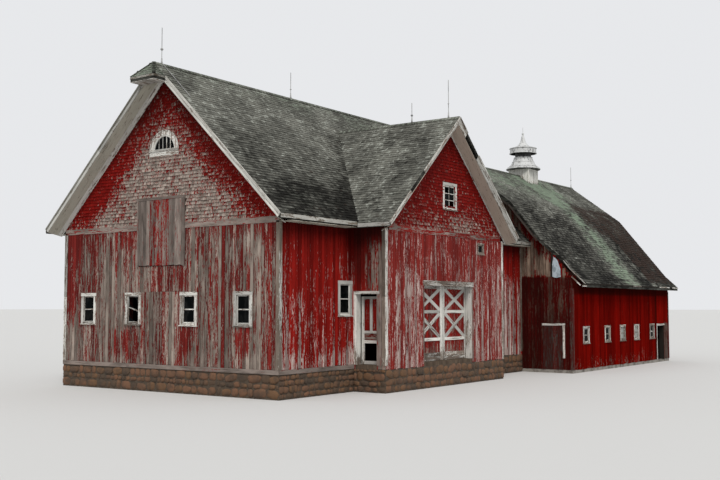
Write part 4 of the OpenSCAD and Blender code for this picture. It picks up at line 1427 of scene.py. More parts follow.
    def lay_gables(self) -> None:
        """Shingles both gables over their bands."""
        p = PLAN
        heap = Heap("front_gable_shingles", 21)
        kind = {"exposure": 0.125, "shingle_w": 0.13, "butt": 0.026, "rough": 0.8, "flake": 0.15,
                "edge": 0.30, "fine": 5.0}
        Shingled(vec(0, 0, p.band_z + p.band_h), Y, Z, -X, p.width, 5.6, self.on_front_gable, self.gable_wear,
                 self.gable_rake_darkening, **kind).lay(heap)
        Shingled(vec(p.wing_x0, -p.wing_out, p.wing_band_z + p.band_h), X, Z, -Y, p.wing_x1 - p.wing_x0, 4.2,
                 self.on_wing_gable, self.wing_gable_wear, self.gable_rake_darkening, **kind).lay(heap)
        heap.build(RED_SHINGLES, "red_boards")

    def build(self) -> None:
        """Builds every wall's cover."""
        special = {"front_boards": RED_FRONT, "wing_boards": RED_PRIMED, "near_side_boards": RED_SIDE,
                   "stable_side_boards": RED_DEEP, "stable_front_boards": RED_SHADE}
        for seed, (name, runs) in enumerate(self.sidings().items(), 3):
            heap = Heap(name, seed)
            for run in runs:
                run.lay(heap)
            heap.build(special.get(name, RED), "red_boards")
        self.lay_gables()


@dataclass
class Roofs:
    """Shingles on all the roof slopes."""

    def slope(self, eave: Points, ridge: Points, along: Points, width: float,
              keep: Callable[[Points], np.ndarray], wear: Field, moss: Field, **more: float) -> Shingled:
        """A slope from a corner at its eave up to its ridge.

        Args:
            eave: the corner.
            ridge: the place straight up the slope from it.
            along: direction of the eave.
            width: length of the eave.
            keep: which shingles are kept, by their middles.
            wear: rot on each shingle.
            moss: growth on each shingle.
            more: what else the shingles are told.

        Returns:
            The slope's shingles, ready to be laid.
        """
        up = unit(ridge - eave)
        height = float(np.linalg.norm(ridge - eave))
        return Shingled(eave, along, up, rising(np.cross(along, up)), width, height, keep, wear, moss, **more)

    def main_moss(self, p: Points) -> Points:
        """Green near the ridge and in drifts."""
        return 0.30 * ramp(p[:, 2], 9.5, 11.2) + 0.25 * np.clip(drift(p, 0.35, 5.0), 0, 1)

    def main_shade(self, p: Points) -> Points:
        """Pale near the ridge, dark low down and towards the valley.

        Args:
            p: points on the slope.

        Returns:
            What to add to the tone at each.
        """
        x, _, z = p.T
        valley = fade(np.abs(PLAN.wing_top(x) - z), 0.1, 1.5)
        streaks = 0.30 * ramp(drift(p * vec(0.35, 1.0, 2.5), 1.6), 0.12, 0.4) * ramp(z, 7.0, 8.4)
        height = 0.60 * ramp(z, 7.4, 9.8) - 0.50 * fade(z, 5.8, 8.3) - 0.02
        return streaks + height - 0.42 * valley * (p[:, 1] < 4)

    def wing_shade(self, p: Points) -> Points:
        """Pale drifts high on the slope and by the rake.

        Args:
            p: points on the slope.

        Returns:
            What to add to the tone at each.
        """
        rake = 0.42 * fade(p[:, 1], -1.7, -0.9)
        streaks = 0.45 * ramp(drift(p * vec(1.0, 0.35, 2.5), 1.6), 0.12, 0.4)
        return 0.34 + 0.15 * ramp(p[:, 2], 7.0, 8.8) + rake + streaks + 0.18 * drift(p, 0.8)

    def stable_shade(self, p: Points) -> Points:
        """Pale along the upper slope and in chips at the eave, dark down the lower slope.

        Args:
            p: points on the slope.

        Returns:
            What to add to the tone at each.
        """
        x, _, z = p.T
        chips = (0.5 + 0.4 * ramp(x, 26.5, 28.5)) * fade(z, 3.32, 3.48) * ramp(drift(p, 1.6), -0.05, 0.15)
        low = 0.62 * fade(z, 5.6, 8.0) * (1 - 0.7 * self.run_off(x)) * ramp(x, 18.2, 19.4)
        edge = 0.8 * PLAN.lost_corner(p - X * 0.13)
        torn = fade(np.abs(x + 0.8 * drift(p, 0.8) - self.rot_edge(z) + 0.25), 0.1, 0.4)
        torn = 0.9 * torn * ramp(z, 3.5, 3.9) * fade(z, 5.3, 5.8) * ramp(drift(p, 3.0), -0.1, 0.1)
        torn = torn + 1.6 * spot(x, z, (21.55, 7.05), (0.6, 0.5))
        upper = 0.46 * ramp(z, 6.8, 8.4) * (1 - 0.4 * ramp(x, 26.0, 28.0))
        return upper - low + chips + edge + torn + 0.14 * drift(p, 0.9) + 0.1 * self.run_off(x)

    def run_off(self, x: Points) -> Points:
        """The stained strip of roof below the ventilator."""
        return fade(np.abs(x - 25.35), 0.5, 2.0)

    def stable_moss(self, p: Points) -> Points:
        """Growth in the strip below the ventilator and along the ridge.

        Args:
            p: points on the slope.

        Returns:
            Growth at each, from 0 to 1.
        """
        x, _, z = p.T
        patchy = 0.72 + 0.6 * drift(p, 1.1, 3.0) + 0.5 * drift(p, 4.0)
        ridge = 0.75 * ramp(z, 6.8, 9.0) * fade(x, 27.5, 30.5)
        return np.clip((0.95 * self.run_off(x) * (1 - 0.35 * ramp(z, 7.6, 9.0)) + ridge) * patchy, 0, 1)

    def rot_edge(self, z: Points) -> Points:
        """Where the bare part of the slope starts, at each height."""
        return 28.3 - 2.1 * ramp(z, 5.7, 6.5)

    def stable_rot(self, p: Points) -> Points:
        """Bare brown boards in the upper rear part of the near slope.

        Args:
            p: points on the slope.

        Returns:
            Rot at each, where 1 is all of the shingle.
        """
        x, _, z = p.T
        bare = ramp(x + 0.8 * drift(p, 0.8) - self.rot_edge(z), -0.3, 0.4) * ramp(z, 3.25, 3.6)
        bare = bare * fade(z, 7.6, 8.2)
        return 0.78 * bare + 0.6 * bare * drift(p, 1.7)

    def on_main(self, q: Points) -> np.ndarray:
        """Whether points of the near main slope are clear of the wing's roof and of the stable's.

        Args:
            q: the points.

        Returns:
            One truth value for each point.
        """
        x, y, _ = q.T
        covered = (PLAN.wing_top(x) > PLAN.main_top(y) + 0.03) & (np.abs(x - PLAN.wing_mid) < PLAN.wing_half)
        return ~covered & ((x < PLAN.length) | (y > PLAN.stable_mid + 0.7))

    def on_wing(self, q: Points) -> np.ndarray:
        """Whether points of the wing's slopes stand over the main roof or out past its eave."""
        return (PLAN.wing_top(q[:, 0]) > PLAN.main_top(q[:, 1]) - 0.06) | (q[:, 1] < -PLAN.eave_out)

    def on_stable(self, q: Points) -> np.ndarray:
        """Whether points of the stable's near slope are clear of the broken corner."""
        return ~PLAN.lost_corner(q)

    def build(self) -> None:
        """Builds each roof's shingles."""
        p = PLAN
        front, x1 = -p.rake_out, p.stable_x1 + p.stable_rake_out
        for name, seed, side, keep in (("main_near_shingles", 41, -1, self.on_main),
                                       ("main_far_shingles", 42, 1, everywhere)):
            heap = Heap(name, seed)
            self.slope(vec(front, p.mid + side * (p.mid + p.eave_out), p.eave_z),
                       vec(front, p.mid, p.ridge_z), X, p.length + 2 * p.rake_out, keep, even(0.0),
                       self.main_moss, shade=self.main_shade).lay(heap)
            heap.build(ROOF, "roof_shingles")
        heap = Heap("wing_shingles", 43)
        for side in (-1, 1):
            self.slope(vec(p.wing_mid + side * p.wing_half, p.wing_tip, p.wing_eave_z),
                       vec(p.wing_mid, p.wing_tip, p.wing_ridge_z), Y, p.mid - p.wing_tip, self.on_wing,
                       even(0.0), self.main_moss, shade=self.wing_shade, contrast=1.05, rough=1.3).lay(heap)
        heap.build(ROOF, "roof_shingles")
        for name, seed, side, x0, keep, rot in (
                ("stable_near_shingles", 44, -1, p.length - p.stable_front_out, self.on_stable,
                 self.stable_rot),
                ("stable_far_shingles", 45, 1, p.length, everywhere, even(0.0))):
            heap = Heap(name, seed)
            for low, high in zip(p.stable_knots, p.stable_knots[1:]):
                eave, ridge = (vec(x0, p.stable_mid + side * away, z) for away, z in (low, high))
                self.slope(eave, ridge, X, x1 - x0, keep, rot, self.stable_moss,
                           shade=self.stable_shade).lay(heap)
            heap.build(ROOF, "roof_shingles")


@dataclass
class Trim:
    """Rake boards, soffits, eaves, corner boards, bands and sills."""

    rake_h: float = 0.325
    soffit_h: float = 0.528
    board: float = 0.025
    eave_h: float = 0.14
    corner_w: float = 0.14
    remnants: tuple[Pair, ...] = ((24.9, 26.1), (29.0, 30.7), (31.2, 32.2))
    white: Heap = field(default_factory=lambda: Heap("white_trim_boards", 61))
    grey: Heap = field(default_factory=lambda: Heap("grey_trim_boards", 62))
    under: Heap = field(default_factory=lambda: Heap("soffit_boards", 63))
    soffit: Heap = field(default_factory=lambda: Heap("main_soffit_boards", 64))

    def rake(self, under: Heap, eave: Points, ridge: Points, out: Points, reach: float, skip: Pair = (2, 2),
             wear: float = 0.28, pale: float = 0.2, broad: float = 1.0, crown: float = 0.2) -> None:
        """One rake: fascia, crown strip and sloping soffit with a white board by the wall.

        Args:
            under: where the soffit goes.
            eave: the roof's corner at the eave, at the fascia's back.
            ridge: the roof's corner at the ridge.
            out: direction out of the gable.
            reach: how far the roof stands out from the wall.
            skip: shares of the length between which the fascia has gone.
            wear: lost paint on the fascia.
            pale: width of the soffit's white board.
            broad: the fascia's depth over the common one.
            crown: dirt on the crown strip.
        """
        whole = ridge - eave
        across = falling(np.cross(out, unit(whole)))
        fall = abs(float(across[2]))
        fascia_w = self.rake_h * broad * fall
        mid, top = across * fascia_w / 2, across * 0.035 + out * self.board
        for low, high in ((0.0, min(skip[0], 1.0)), (skip[1], 1.0)):
            if high > low:
                a, b = eave + whole * low, eave + whole * high
                self.white.strip(a + mid, b + mid, across, out, fascia_w, self.board, 3.7, wear, step=0.5,
                                 moss=0.14)
                self.white.strip(a + top, b + top, across, out, 0.07, 0.022, 4.9, wear + 0.1, step=0.5,
                                 moss=crown)
        low_edge = eave + across * fascia_w
        slant = eave + across * self.soffit_h * fall - out * reach - low_edge
        width = float(np.linalg.norm(slant))
        slant = slant / width
        down = falling(np.cross(slant, unit(whole)))
        beige = (width - pale) / 2
        for i in range(2):
            start = low_edge + slant * beige * (i + 0.5)
            under.strip(start, start + whole, slant, down, beige - 0.002, 0.02, 4.3, 0.08, step=0.5, tone=0.5)
        start = low_edge + slant * (width - pale / 2)
        self.white.strip(start, start + whole, slant, down, pale - 0.002, 0.024, 4.3, 0.2, step=0.5, tone=0.5)

    def rakes(self) -> None:
        """The rakes of the main barn and of the wing."""
        p = PLAN
        for side in (-1, 1):
            eave = vec(-p.rake_out, p.mid + side * (p.mid + p.eave_out), p.eave_z)
            self.rake(self.soffit, eave, vec(-p.rake_out, p.mid, p.ridge_z), -X, p.rake_out, wear=0.14,
                      broad=0.8, crown=0.85 if side > 0 else 0.4)
            tip = p.wing_tip - 0.004 * (1 + side)
            eave = vec(p.wing_mid + side * p.wing_half, tip, p.wing_eave_z)
            skip, wear, broad = ((0.70, 0.88), 0.30, 1.35) if side > 0 else ((0.27, 0.46), 0.34, 0.62)
            self.rake(self.under, eave, vec(p.wing_mid, tip, p.wing_ridge_z), -Y, p.wing_rake_out, skip, wear,
                      0.06, broad)
            start = p.width + p.eave_out if side > 0 else p.stable_mid + 0.7
            eave = vec(p.length + p.rake_out, start, p.main_top(start))
            self.rake(self.soffit, eave, vec(p.length + p.rake_out, p.mid, p.ridge_z), X, p.rake_out)

    def build(self) -> None:
        """Builds all the trim."""
        self.rakes()
        self.stable_rakes()
        self.eaves()
        self.corners()
        self.openings()
        self.bands()
        self.white.build(WHITE, "white_trim", ("rake_trim", "eave_boards", "corner_boards"))
        self.under.build(SOFFIT, "white_trim")
        self.soffit.build(SOFFIT_MAIN, "white_trim")
        self.grey.build(GREY, "grey_boards", ("band_boards", "sill_boards", "door_frames"))

    def bands(self) -> None:
        """Bare bands over the front and the wing's gable, and the sills at the foot."""
        p, t = PLAN, self.board
        main_z, wing_z = (foot + p.band_h / 2 for foot in (p.band_z, p.wing_band_z))
        for face, u0, u1, z, h, thick, piece, wear, more in (
                (FRONT, 0, HAY[0], main_z, p.band_h, t, 3.6, 0.85, {}),
                (FRONT, HAY[1], p.width, main_z, p.band_h, t, 3.6, 0.7, {}),
                (WING_GABLE, p.wing_x0 + 0.22, p.wing_x1 - 0.22, wing_z, p.band_h, t, 3.6, 0.45, {}),
                (FRONT, 0, p.width, -0.075, 0.15, 0.04, 3.3, 1.0, {"tone": 0.8, "moss": 0.1}),
                (NEAR, 0, p.wing_x0, -0.075, 0.15, 0.04, 3.3, 0.9, {})):
            self.grey.strip(face.at(u0, z), face.at(u1, z), Z, face.out, h, thick, piece, wear, **more)

    def stable_rakes(self) -> None:
        """Thin boards hung under the edges of the gambrel roof."""
        p = PLAN
        rear = p.stable_knots
        start, torn, end = ((away, float(p.stable_top(p.stable_mid - away)))
                            for away in (p.lost_from, 6.06, p.lost_to))
        back = p.stable_x1 + p.stable_rake_out
        bare, stub, split = (0.09, 0.026, 0.9), (0.045, 0.026, 0.4), (0.04, 0.012, 0.5)
        for x, side, out, knots, drop, (width, thick, wear) in (
                (p.length - p.stable_front_out, -1, -X, [start, *rear[2:]], None, bare),
                (p.length - self.board, -1, -X, [p.stable_eave, torn], 0.13, stub),
                (p.length + p.lost_in - 0.1, -1, -X, [p.stable_eave, p.stable_flare, end], 0.015, split),
                (back, -1, X, rear, None, bare), (back, 1, X, rear, None, bare)):
            for low, high in zip(knots, knots[1:]):
                a, b = (vec(x, p.stable_mid + side * away, z) for away, z in (low, high))
                across = falling(np.cross(out, unit(b - a)))
                if drop is None:
                    hang = across * (p.roof_t * abs(across[2]) + 0.05) - out * 0.02
                    self.grey.strip(a + hang, b + hang, across, out, width, thick, 2.9, wear, moss=0.85)
                else:
                    self.white.strip(a + across * drop, b + across * drop, across, out, width, thick, 2.9,
                                     wear)

    def eaves(self) -> None:
        """Boards along the eaves with the soffits behind them."""
        p, t, h, white = PLAN, self.board, self.eave_h, self.white
        wing_reach = p.wing_half + 0.03
        z = p.eave_z - 0.01 - h / 2
        for x0, x1, y, side in ((-p.rake_out, p.wing_mid - wing_reach, -p.eave_out, -1),
                                (p.wing_mid + wing_reach, p.length, -p.eave_out, -1),
                                (-p.rake_out, p.length + p.rake_out, p.width + p.eave_out, 1)):
            white.strip(vec(x0, y, z), vec(x1, y, z), Z, Y * side, h, t, 4.2, 0.3, step=0.5, moss=0.46)
            inner = 0.0 if side < 0 else p.width
            start, end = vec(max(x0, 0.0), 0, p.eave_z - 0.2), vec(x1, 0, p.eave_z - 0.2)
            for i in range(3):
                middle = Y * (y + (inner - y) * (i + 0.5) / 3)
                self.soffit.strip(start + middle, end + middle, Y, -Z, p.eave_out / 3 - 0.002, 0.02, 4.2,
                                  0.25, step=0.5)
        wing_z, z = (top - 0.01 - h / 2 for top in (p.wing_eave_z, p.stable_eave[1]))
        back = p.stable_x1 + p.stable_rake_out
        for side, wear, x0 in ((-1, 0.35, p.length + p.lost_in), (1, 0.8, p.length)):
            x = p.wing_mid + side * p.wing_half
            white.strip(vec(x, p.wing_tip, wing_z), vec(x, -p.eave_out - 0.03, wing_z), Z, X * side, h, t,
                        2.0, wear)
            y = p.stable_mid + side * p.stable_eave[0]
            # The stable's eave boards are near black: painted shade under the ragged shingle edge.
            self.grey.strip(vec(x0, y, z + 0.05), vec(back, y, z + 0.05), Z, Y * side, 0.055, t, 3.4, 0.97,
                            tone=0.0, moss=1.0)
            if side < 0:
                white.strip(vec(p.length - t, y, z - 0.04), vec(x0, y, z - 0.04), Z, -Y, 0.07, t, 3.4, 0.45)
                for a, b in self.remnants:
                    white.strip(vec(a, y, z + 0.052), vec(b, y, z + 0.052), Z, -Y, 0.05, t + 0.005, 3.4, 0.5,
                                step=0.2)

    def corners(self) -> None:
        """Pairs of boards up the outside corners, white on the main barn and bare on the stable."""
        p, t, w, white, grey = PLAN, self.board, self.corner_w, self.white, self.grey

        def near(q: Points) -> Points:
            """The near front corner keeps some paint at head height."""
            return 0.86 - 0.42 * ramp(q[:, 2], 1.0, 2.2) * fade(q[:, 2], 4.0, 4.2)

        for heap, (x, y), (sx, sy), z0, z1, worn in (
                (white, (0, 0), (-1, -1), 0.0, 5.06, (near, 0.97)),
                (white, (0, p.width), (-1, 1), 0.0, 5.06, (0.4, 0.5)),
                (white, (p.wing_x0, -p.wing_out), (-1, -1), 0.0, 5.0, (0.36, 0.97)),
                (white, (p.wing_x1, -p.wing_out), (1, -1), p.sill_z, 5.0, (0.65, 0.5)),
                (grey, (p.length, p.stable_y0), (-1, -1), p.footing_z, 3.0, (0.3, 0.4)),
                (grey, (p.stable_x1, p.stable_y0), (1, -1), p.footing_z, 3.0, (0.3, 0.5))):
            for axis, other, sign, facing, wear in ((X, Y, sx, sy, worn[0]), (Y, X, sy, sx, worn[1])):
                base = vec(x, y, 0) - axis * sign * (w / 2 - t * (axis is X))
                heap.strip(base + Z * z0, base + Z * z1, axis, other * facing, w, t, 3.1, wear,
                           moss=0.7 if heap is grey else 0.12)
        u = p.length - w / 2
        white.strip(NEAR.at(u, 0), NEAR.at(u, 5.0), X, -Y, w, t, 3.0, 0.85, moss=0.5)

    def lining(self, heap: Heap, face: Face, u: float, side: int, z: Pair, wear: Field | float,
               thick: float = 0.025, **more: float) -> None:
        """A board that lines one jamb of a doorway.

        Args:
            heap: where it goes.
            face: the wall face.
            u: place of the jamb along the face.
            side: 1 or -1, the way along the face that the board faces.
            z: its foot and its top.
            wear: lost paint.
            thick: its thickness.
            more: what else the board is told.
        """
        back = face.at(u, 0, -PLAN.wall_t / 2)
        heap.board(back + Z * z[0], back + Z * z[1], -face.out, face.along * side, PLAN.wall_t, thick, wear,
                   **more)

    def openings(self) -> None:
        """Boards round the doorways."""
        t, white, grey = self.board, self.white, self.grey
        wagon, entry = (0, WAGON[3]), (0, ENTRY[3])

        def wagon_wear(q: Points) -> Points:
            """A bare patch where loads have rubbed the lining."""
            return 0.12 + 0.6 * spot(q[:, 1], q[:, 2], (-1.2, 1.0), (0.3, 0.8))

        def entry_wear(q: Points) -> Points:
            """Bare at the foot of the lining."""
            return 0.1 + 0.6 * fade(q[:, 2], 0.1, 0.6)

        def casing_wear(q: Points) -> Points:
            """Bare at the foot of the casing."""
            return 0.1 + 0.7 * fade(q[:, 2], 0.2, 0.9)

        white.rail(WING_GABLE, (WAGON[0] - 0.06, WAGON[1] + 0.10), WAGON[3] + 0.1, 0.2, 0.05, 0.62)
        grey.post(WING_GABLE, WAGON[0] - 0.03, wagon, 0.06, t, 0.8)
        grey.post(WING_GABLE, WAGON[1] + 0.05, wagon, 0.09, t, 0.85)
        self.lining(white, WING_GABLE, WAGON[1], -1, wagon, wagon_wear, step=0.12)
        self.lining(white, WING_GABLE, WAGON[0], 1, wagon, 0.4)
        grey.post(WING_LEFT, ENTRY[0] - 0.11, entry, 0.21, t, 0.9)
        white.rail(WING_LEFT, (ENTRY[0] - 0.12, -0.02), ENTRY[3] + 0.055, 0.11, 0.04, 0.3)
        self.lining(white, WING_LEFT, ENTRY[1], -1, entry, entry_wear, step=0.12)
        white.post(WING_LEFT, ENTRY[1] + 0.045, entry, 0.09, t, casing_wear)
        white.rail(STABLE_NEAR, (COW_DOOR[0] - 0.09, COW_DOOR[1] + 0.06), COW_DOOR[3] + 0.055, 0.11, t, 0.35)
        white.post(STABLE_NEAR, COW_DOOR[0] - 0.045, (PLAN.footing_z, COW_DOOR[3]), 0.09, t, 0.4)
        # One lining of the cow door is near black: painted shade in the doorway.
        self.lining(grey, STABLE_NEAR, COW_DOOR[1], -1, (PLAN.footing_z, COW_DOOR[3] - 0.003), 0.97,
                    thick=0.014, tone=0.0, moss=1.0)
        white.rail(STABLE_FRONT, (SHUT_DOOR[0] - 0.12, SHUT_DOOR[1] + 0.05), SHUT_DOOR[3] + 0.05, 0.1, t,
                   0.35)
        white.post(STABLE_FRONT, SHUT_DOOR[0] - 0.05, (-0.3, SHUT_DOOR[3]), 0.1, t, 0.4)


@dataclass
class Windows:
    """Casings, sashes, bars and panes of every window."""

    board: float = 0.025
    sash: float = 0.05
    bar: float = 0.024
    inset: float = 0.047
    fan_r: float = 0.53

    def casing(self, heap: Heap, w: Opening) -> None:
        """Boards round one window, its sill and the boards that line its hole.

        Args:
            heap: where they go.
            w: the window.
        """
        c, t = w.casing, self.board
        low, high = w.z - c / 2, w.z + w.h
        for side in (-1, 1):
            heap.post(w.face, w.u + side * (w.w + c) / 2, (low, high), c - 0.004, t, w.wear, step=0.2)
            heap.post(w.face, w.u + side * w.w / 2, (w.z, high), 0.012, 0.06, w.wear, -0.06, tone=0.2)
        for z, h, reach, thick, more in ((high + c / 2, c, c + 0.012, t + 0.005, 0.0),
                                         (low - 0.0225, 0.045, c + 0.02, 0.06, 0.35)):
            heap.rail(w.face, (w.sides[0] - reach, w.sides[1] + reach), z, h, thick, w.wear + more, step=0.2)
        heap.rail(w.face, w.sides, low / 2 + w.z / 2, c / 2, t, w.wear + 0.1)
        for z in (w.z, high):
            heap.rail(w.face, w.sides, z, 0.012, 0.06, w.wear, -0.06)

    def sashes(self, white: Heap, glass: Heap, w: Opening) -> None:
        """Sash bars and panes of one window.

        Args:
            white: where the bars go.
            glass: where the panes go.
            w: the window.
        """
        face, b, back = w.face, self.sash, -self.inset
        tilt = math.radians(w.tilt)
        slant = face.along * math.cos(tilt) + Z * math.sin(tilt)
        rise = Z * math.cos(tilt) - face.along * math.sin(tilt)
        for side in (-1, 1):
            u, z = w.u + side * (w.w - b) / 2, w.z + w.h / 2 + side * (w.h - b) / 2
            white.post(face, u, (w.z, w.z + w.h), b, 0.035, w.wear + 0.1, back)
            white.rail(face, w.sides, z, b, 0.034, w.wear + 0.1, back)
        columns, rows = w.bars
        du, dz = (w.w - 2 * b) / columns, (w.h - 2 * b) / rows
        u0, z0 = w.u - w.w / 2 + b, w.z + b
        reach = slant * (w.w / 2 - b + 0.004)
        thick = 0.04 if rows == 2 else self.bar
        for i in range(1, rows):
            mid = face.at(w.u, z0 + dz * i, back)
            white.board(mid - reach, mid + reach, rise, face.out, thick, 0.030, w.wear + 0.15)
        for i in range(1, columns):
            white.post(face, u0 + du * i, (z0, z0 + dz * rows), self.bar, 0.028, w.wear + 0.15, back)
        mirrored = np.dot(np.cross(face.along, Z), face.out) < 0
        right = -face.along if mirrored else face.along
        shards = ([(0, 0), (0.55 * du, 0), (0.2 * du, 0.28 * dz), (0, 0.5 * dz)],
                  [(du, dz), (0.62 * du, dz), (0.8 * du, 0.75 * dz), (du, 0.55 * dz)])
        for i in range(columns * rows):
            tone = 0.85 if w.blind else 0.25 * glass.rng.random()
            start = face.at(u0 + du * (i % columns + mirrored), z0 + dz * (i // columns), back + 0.008)
            for outline in shards if i in w.broken else ([(0, 0), (du, 0), (du, dz), (0, dz)],):
                glass.prism(outline, right, Z, start, 0.005, tone, tone)

    def arc(self, radius: float, steps: int = 28) -> Points:
        """Places along a half circle."""
        turn = np.linspace(0, math.pi, steps + 1)
        return np.stack([np.cos(turn) * radius, np.sin(turn) * radius], 1)

    def fan(self, white: Heap, glass: Heap) -> None:
        """The half-round window with its arch, upright bars and deep sill.

        Args:
            white: where the boards go.
            glass: where the pane goes.
        """
        r, z, mid = self.fan_r, PLAN.fan_z, PLAN.mid
        for outer, inner, x, thick, wear in ((0.22, 0.06, 0.0, 0.025, 0.55), (0.235, 0.19, -0.02, 0.022, 0.5),
                                             (0.065, -0.005, 0.04, 0.055, 0.2)):
            ring = np.concatenate([self.arc(r + outer), self.arc(r + inner)[::-1]])
            white.prism(ring, -Y, Z, vec(x, mid, z), thick, wear)
        for height, over, h, thick, wear, proud, step in ((-0.10, 0.24, 0.2, 0.03, 0.45, 0.0, 0.2),
                                                          (-0.012, 0.26, 0.035, 0.055, 0.45, 0.0, 0.2),
                                                          (0.03, 0.0, 0.05, 0.045, 0.2, -0.035, 0.35)):
            white.rail(FRONT, (mid - r - over, mid + r + over), z + height, h, thick, wear, proud, step=step)
        for u in (-0.30, -0.10, 0.10, 0.30):
            white.post(FRONT, mid + u, (z, z + math.sqrt(r * r - u * u)), 0.018, 0.035, 0.3, -0.032)
        glass.prism(self.arc(r), -Y, Z, vec(0.028, mid, z), 0.005, 0.3, 0.1)

    def build(self) -> None:
        """Builds all the windows."""
        white, glass = Heap("window_joinery", 71), Heap("window_panes", 72)
        for w in WINDOWS:
            self.casing(white, w)
            self.sashes(white, glass, w)
        self.fan(white, glass)
        white.build(WHITE, "white_trim", ("window_frames", "half_round_window"))
        glass.build(GLASS, "window_glass", ("window_glass",))


@dataclass
class Leaf:
    """A door leaf: the wall-side plane of its back, its size and how its parts go on."""

    face: Face
    width: float
    height: float
    body: Body
    node: str
    foot: float = 0.012
    board: float = 0.028
    rail: float = 0.024
    strap_z: tuple[float, float, float] = (0.42, 1.42, 2.24)
    pin_u: float = -0.034

    def bar(self, heap: Heap, u: Pair, z: Pair, lift: float, thick: float, wear: Field | float,
            upright: bool = True) -> None:
        """A straight part of the leaf.

        Args:
            heap: where it goes.
            u: its two sides, from the hinge edge.
            z: its foot and its top, over the leaf's foot.
            lift: how far its back stands off the leaf's back.
            thick: its thickness.
            wear: lost paint.
            upright: whether its grain runs up.
        """
        z = (z[0] + self.foot, z[1] + self.foot)
        if upright:
            heap.post(self.face, (u[0] + u[1]) / 2, z, u[1] - u[0], thick, wear, lift, step=0.25)
        else:
            heap.rail(self.face, u, (z[0] + z[1]) / 2, z[1] - z[0], thick, wear, lift, step=0.25)

    def slant(self, heap: Heap, a: Pair, b: Pair, width: float, thick: float, wear: float) -> None:
        """A brace between two places on the leaf's boards.

        Args:
            heap: where it goes.
            a: its start, from the hinge edge and over the leaf's foot.
            b: its end, given the same way.
            width: its width.
            thick: its thickness.
            wear: lost paint.
        """
        start, end = (self.face.at(u, z + self.foot, self.board) for u, z in (a, b))
        across = np.cross(self.face.out, unit(end - start))
        heap.board(start, end, across, self.face.out, width, thick, wear, step=0.25)

    def straps(self, heap: Heap, length: float) -> None:
        """Straps with eyes on the leaf's back, and the bolts through them.

        Args:
            heap: where they go.
            length: how far they reach along the leaf.
        """
        eye = [(0.0125, 0.0), (0.026, 0.0), (0.026, 0.06), (0.0125, 0.06)]
        for height in self.strap_z:
            z = height + self.foot
            heap.rail(self.face, (self.pin_u, length), z + 0.03, 0.06, 0.008, 0.5, -0.008)
            heap.turned(eye, self.face.at(self.pin_u, z, -0.022), 20)
            for u in np.arange(0.1, length, 0.16):
                bolt = self.face.at(u, z + 0.03, -0.014)
                for side in (-1, 1):
                    reach = self.face.along * 0.008 * side
                    heap.board(bolt + reach * 0.5, bolt + reach, Z, self.face.out, 0.016, 0.008, 0.5)


@dataclass
class WagonLeaf(Leaf):
    """One leaf of the wagon doors, with white crosses over red boards."""

    stile: float = 0.165
    rails: Pair = (0.775, 1.865)
    rail_h: float = 0.12
    kick: float = 0.31
    brace: float = 0.145
    boards: int = 13

    def board_wear(self, p: Points) -> Points:
        """The boards, worn at the foot."""
        return 0.20 + 0.30 * fade(p[:, 2], 0.3, 0.8)

    def stile_wear(self, p: Points) -> Points:
        """The stiles, nearly bare at the foot."""
        return 0.15 + 0.6 * fade(p[:, 2], 0.2, 0.7)

    def build(self, seed: int) -> None:
        """Builds the leaf's boards, rails, braces and hinges.

        Args:
            seed: start of its random draws.
        """
        red, white = Heap(self.node + "_boards", seed), Heap(self.node + "_rails", seed + 1)
        iron = Heap(self.node + "_hinges", seed + 2)
        lift, t, s, w, h = self.board, self.rail, self.stile, self.width, self.height
        for i in range(self.boards):
            sides = (w * i / self.boards + 0.002, w * (i + 1) / self.boards - 0.002)
            foot = red.rng.uniform(0, 0.02)
            self.bar(red, sides, (foot, h), 0.0, lift - red.rng.uniform(0, 0.004), self.board_wear)
        for u in (0.0, w - s):
            self.bar(white, (u, u + s), (0.0, h), lift, t, self.stile_wear)
        bars = [(z, z + self.rail_h, 0.14) for z in self.rails]
        bars += [(h - s, h, 0.35), (0.0, self.kick * 0.5 - 0.003, 0.75), (self.kick * 0.5, self.kick, 0.75)]
        for z0, z1, wear in bars:
            self.bar(white, (s, w - s), (z0, z1), lift, t - 0.001, wear, False)
        left, right = s - 0.02, w - s + 0.02
        for z0, z1 in ((self.rails[0] + self.rail_h, self.rails[1]), (self.rails[1] + self.rail_h, h - s)):
            low, high = z0 - 0.02, z1 + 0.02
            self.slant(white, (left, low), (right, high), self.brace, t - 0.004, 0.14)
            self.slant(white, (left, high), (right, low), self.brace, t - 0.002, 0.16)
        self.straps(iron, 0.72)
        red.build(RED, "door_red", (self.node,), self.body)
        white.build(WHITE, "white_trim", body=self.body)
        iron.build(IRON, "hinge_iron", body=self.body)


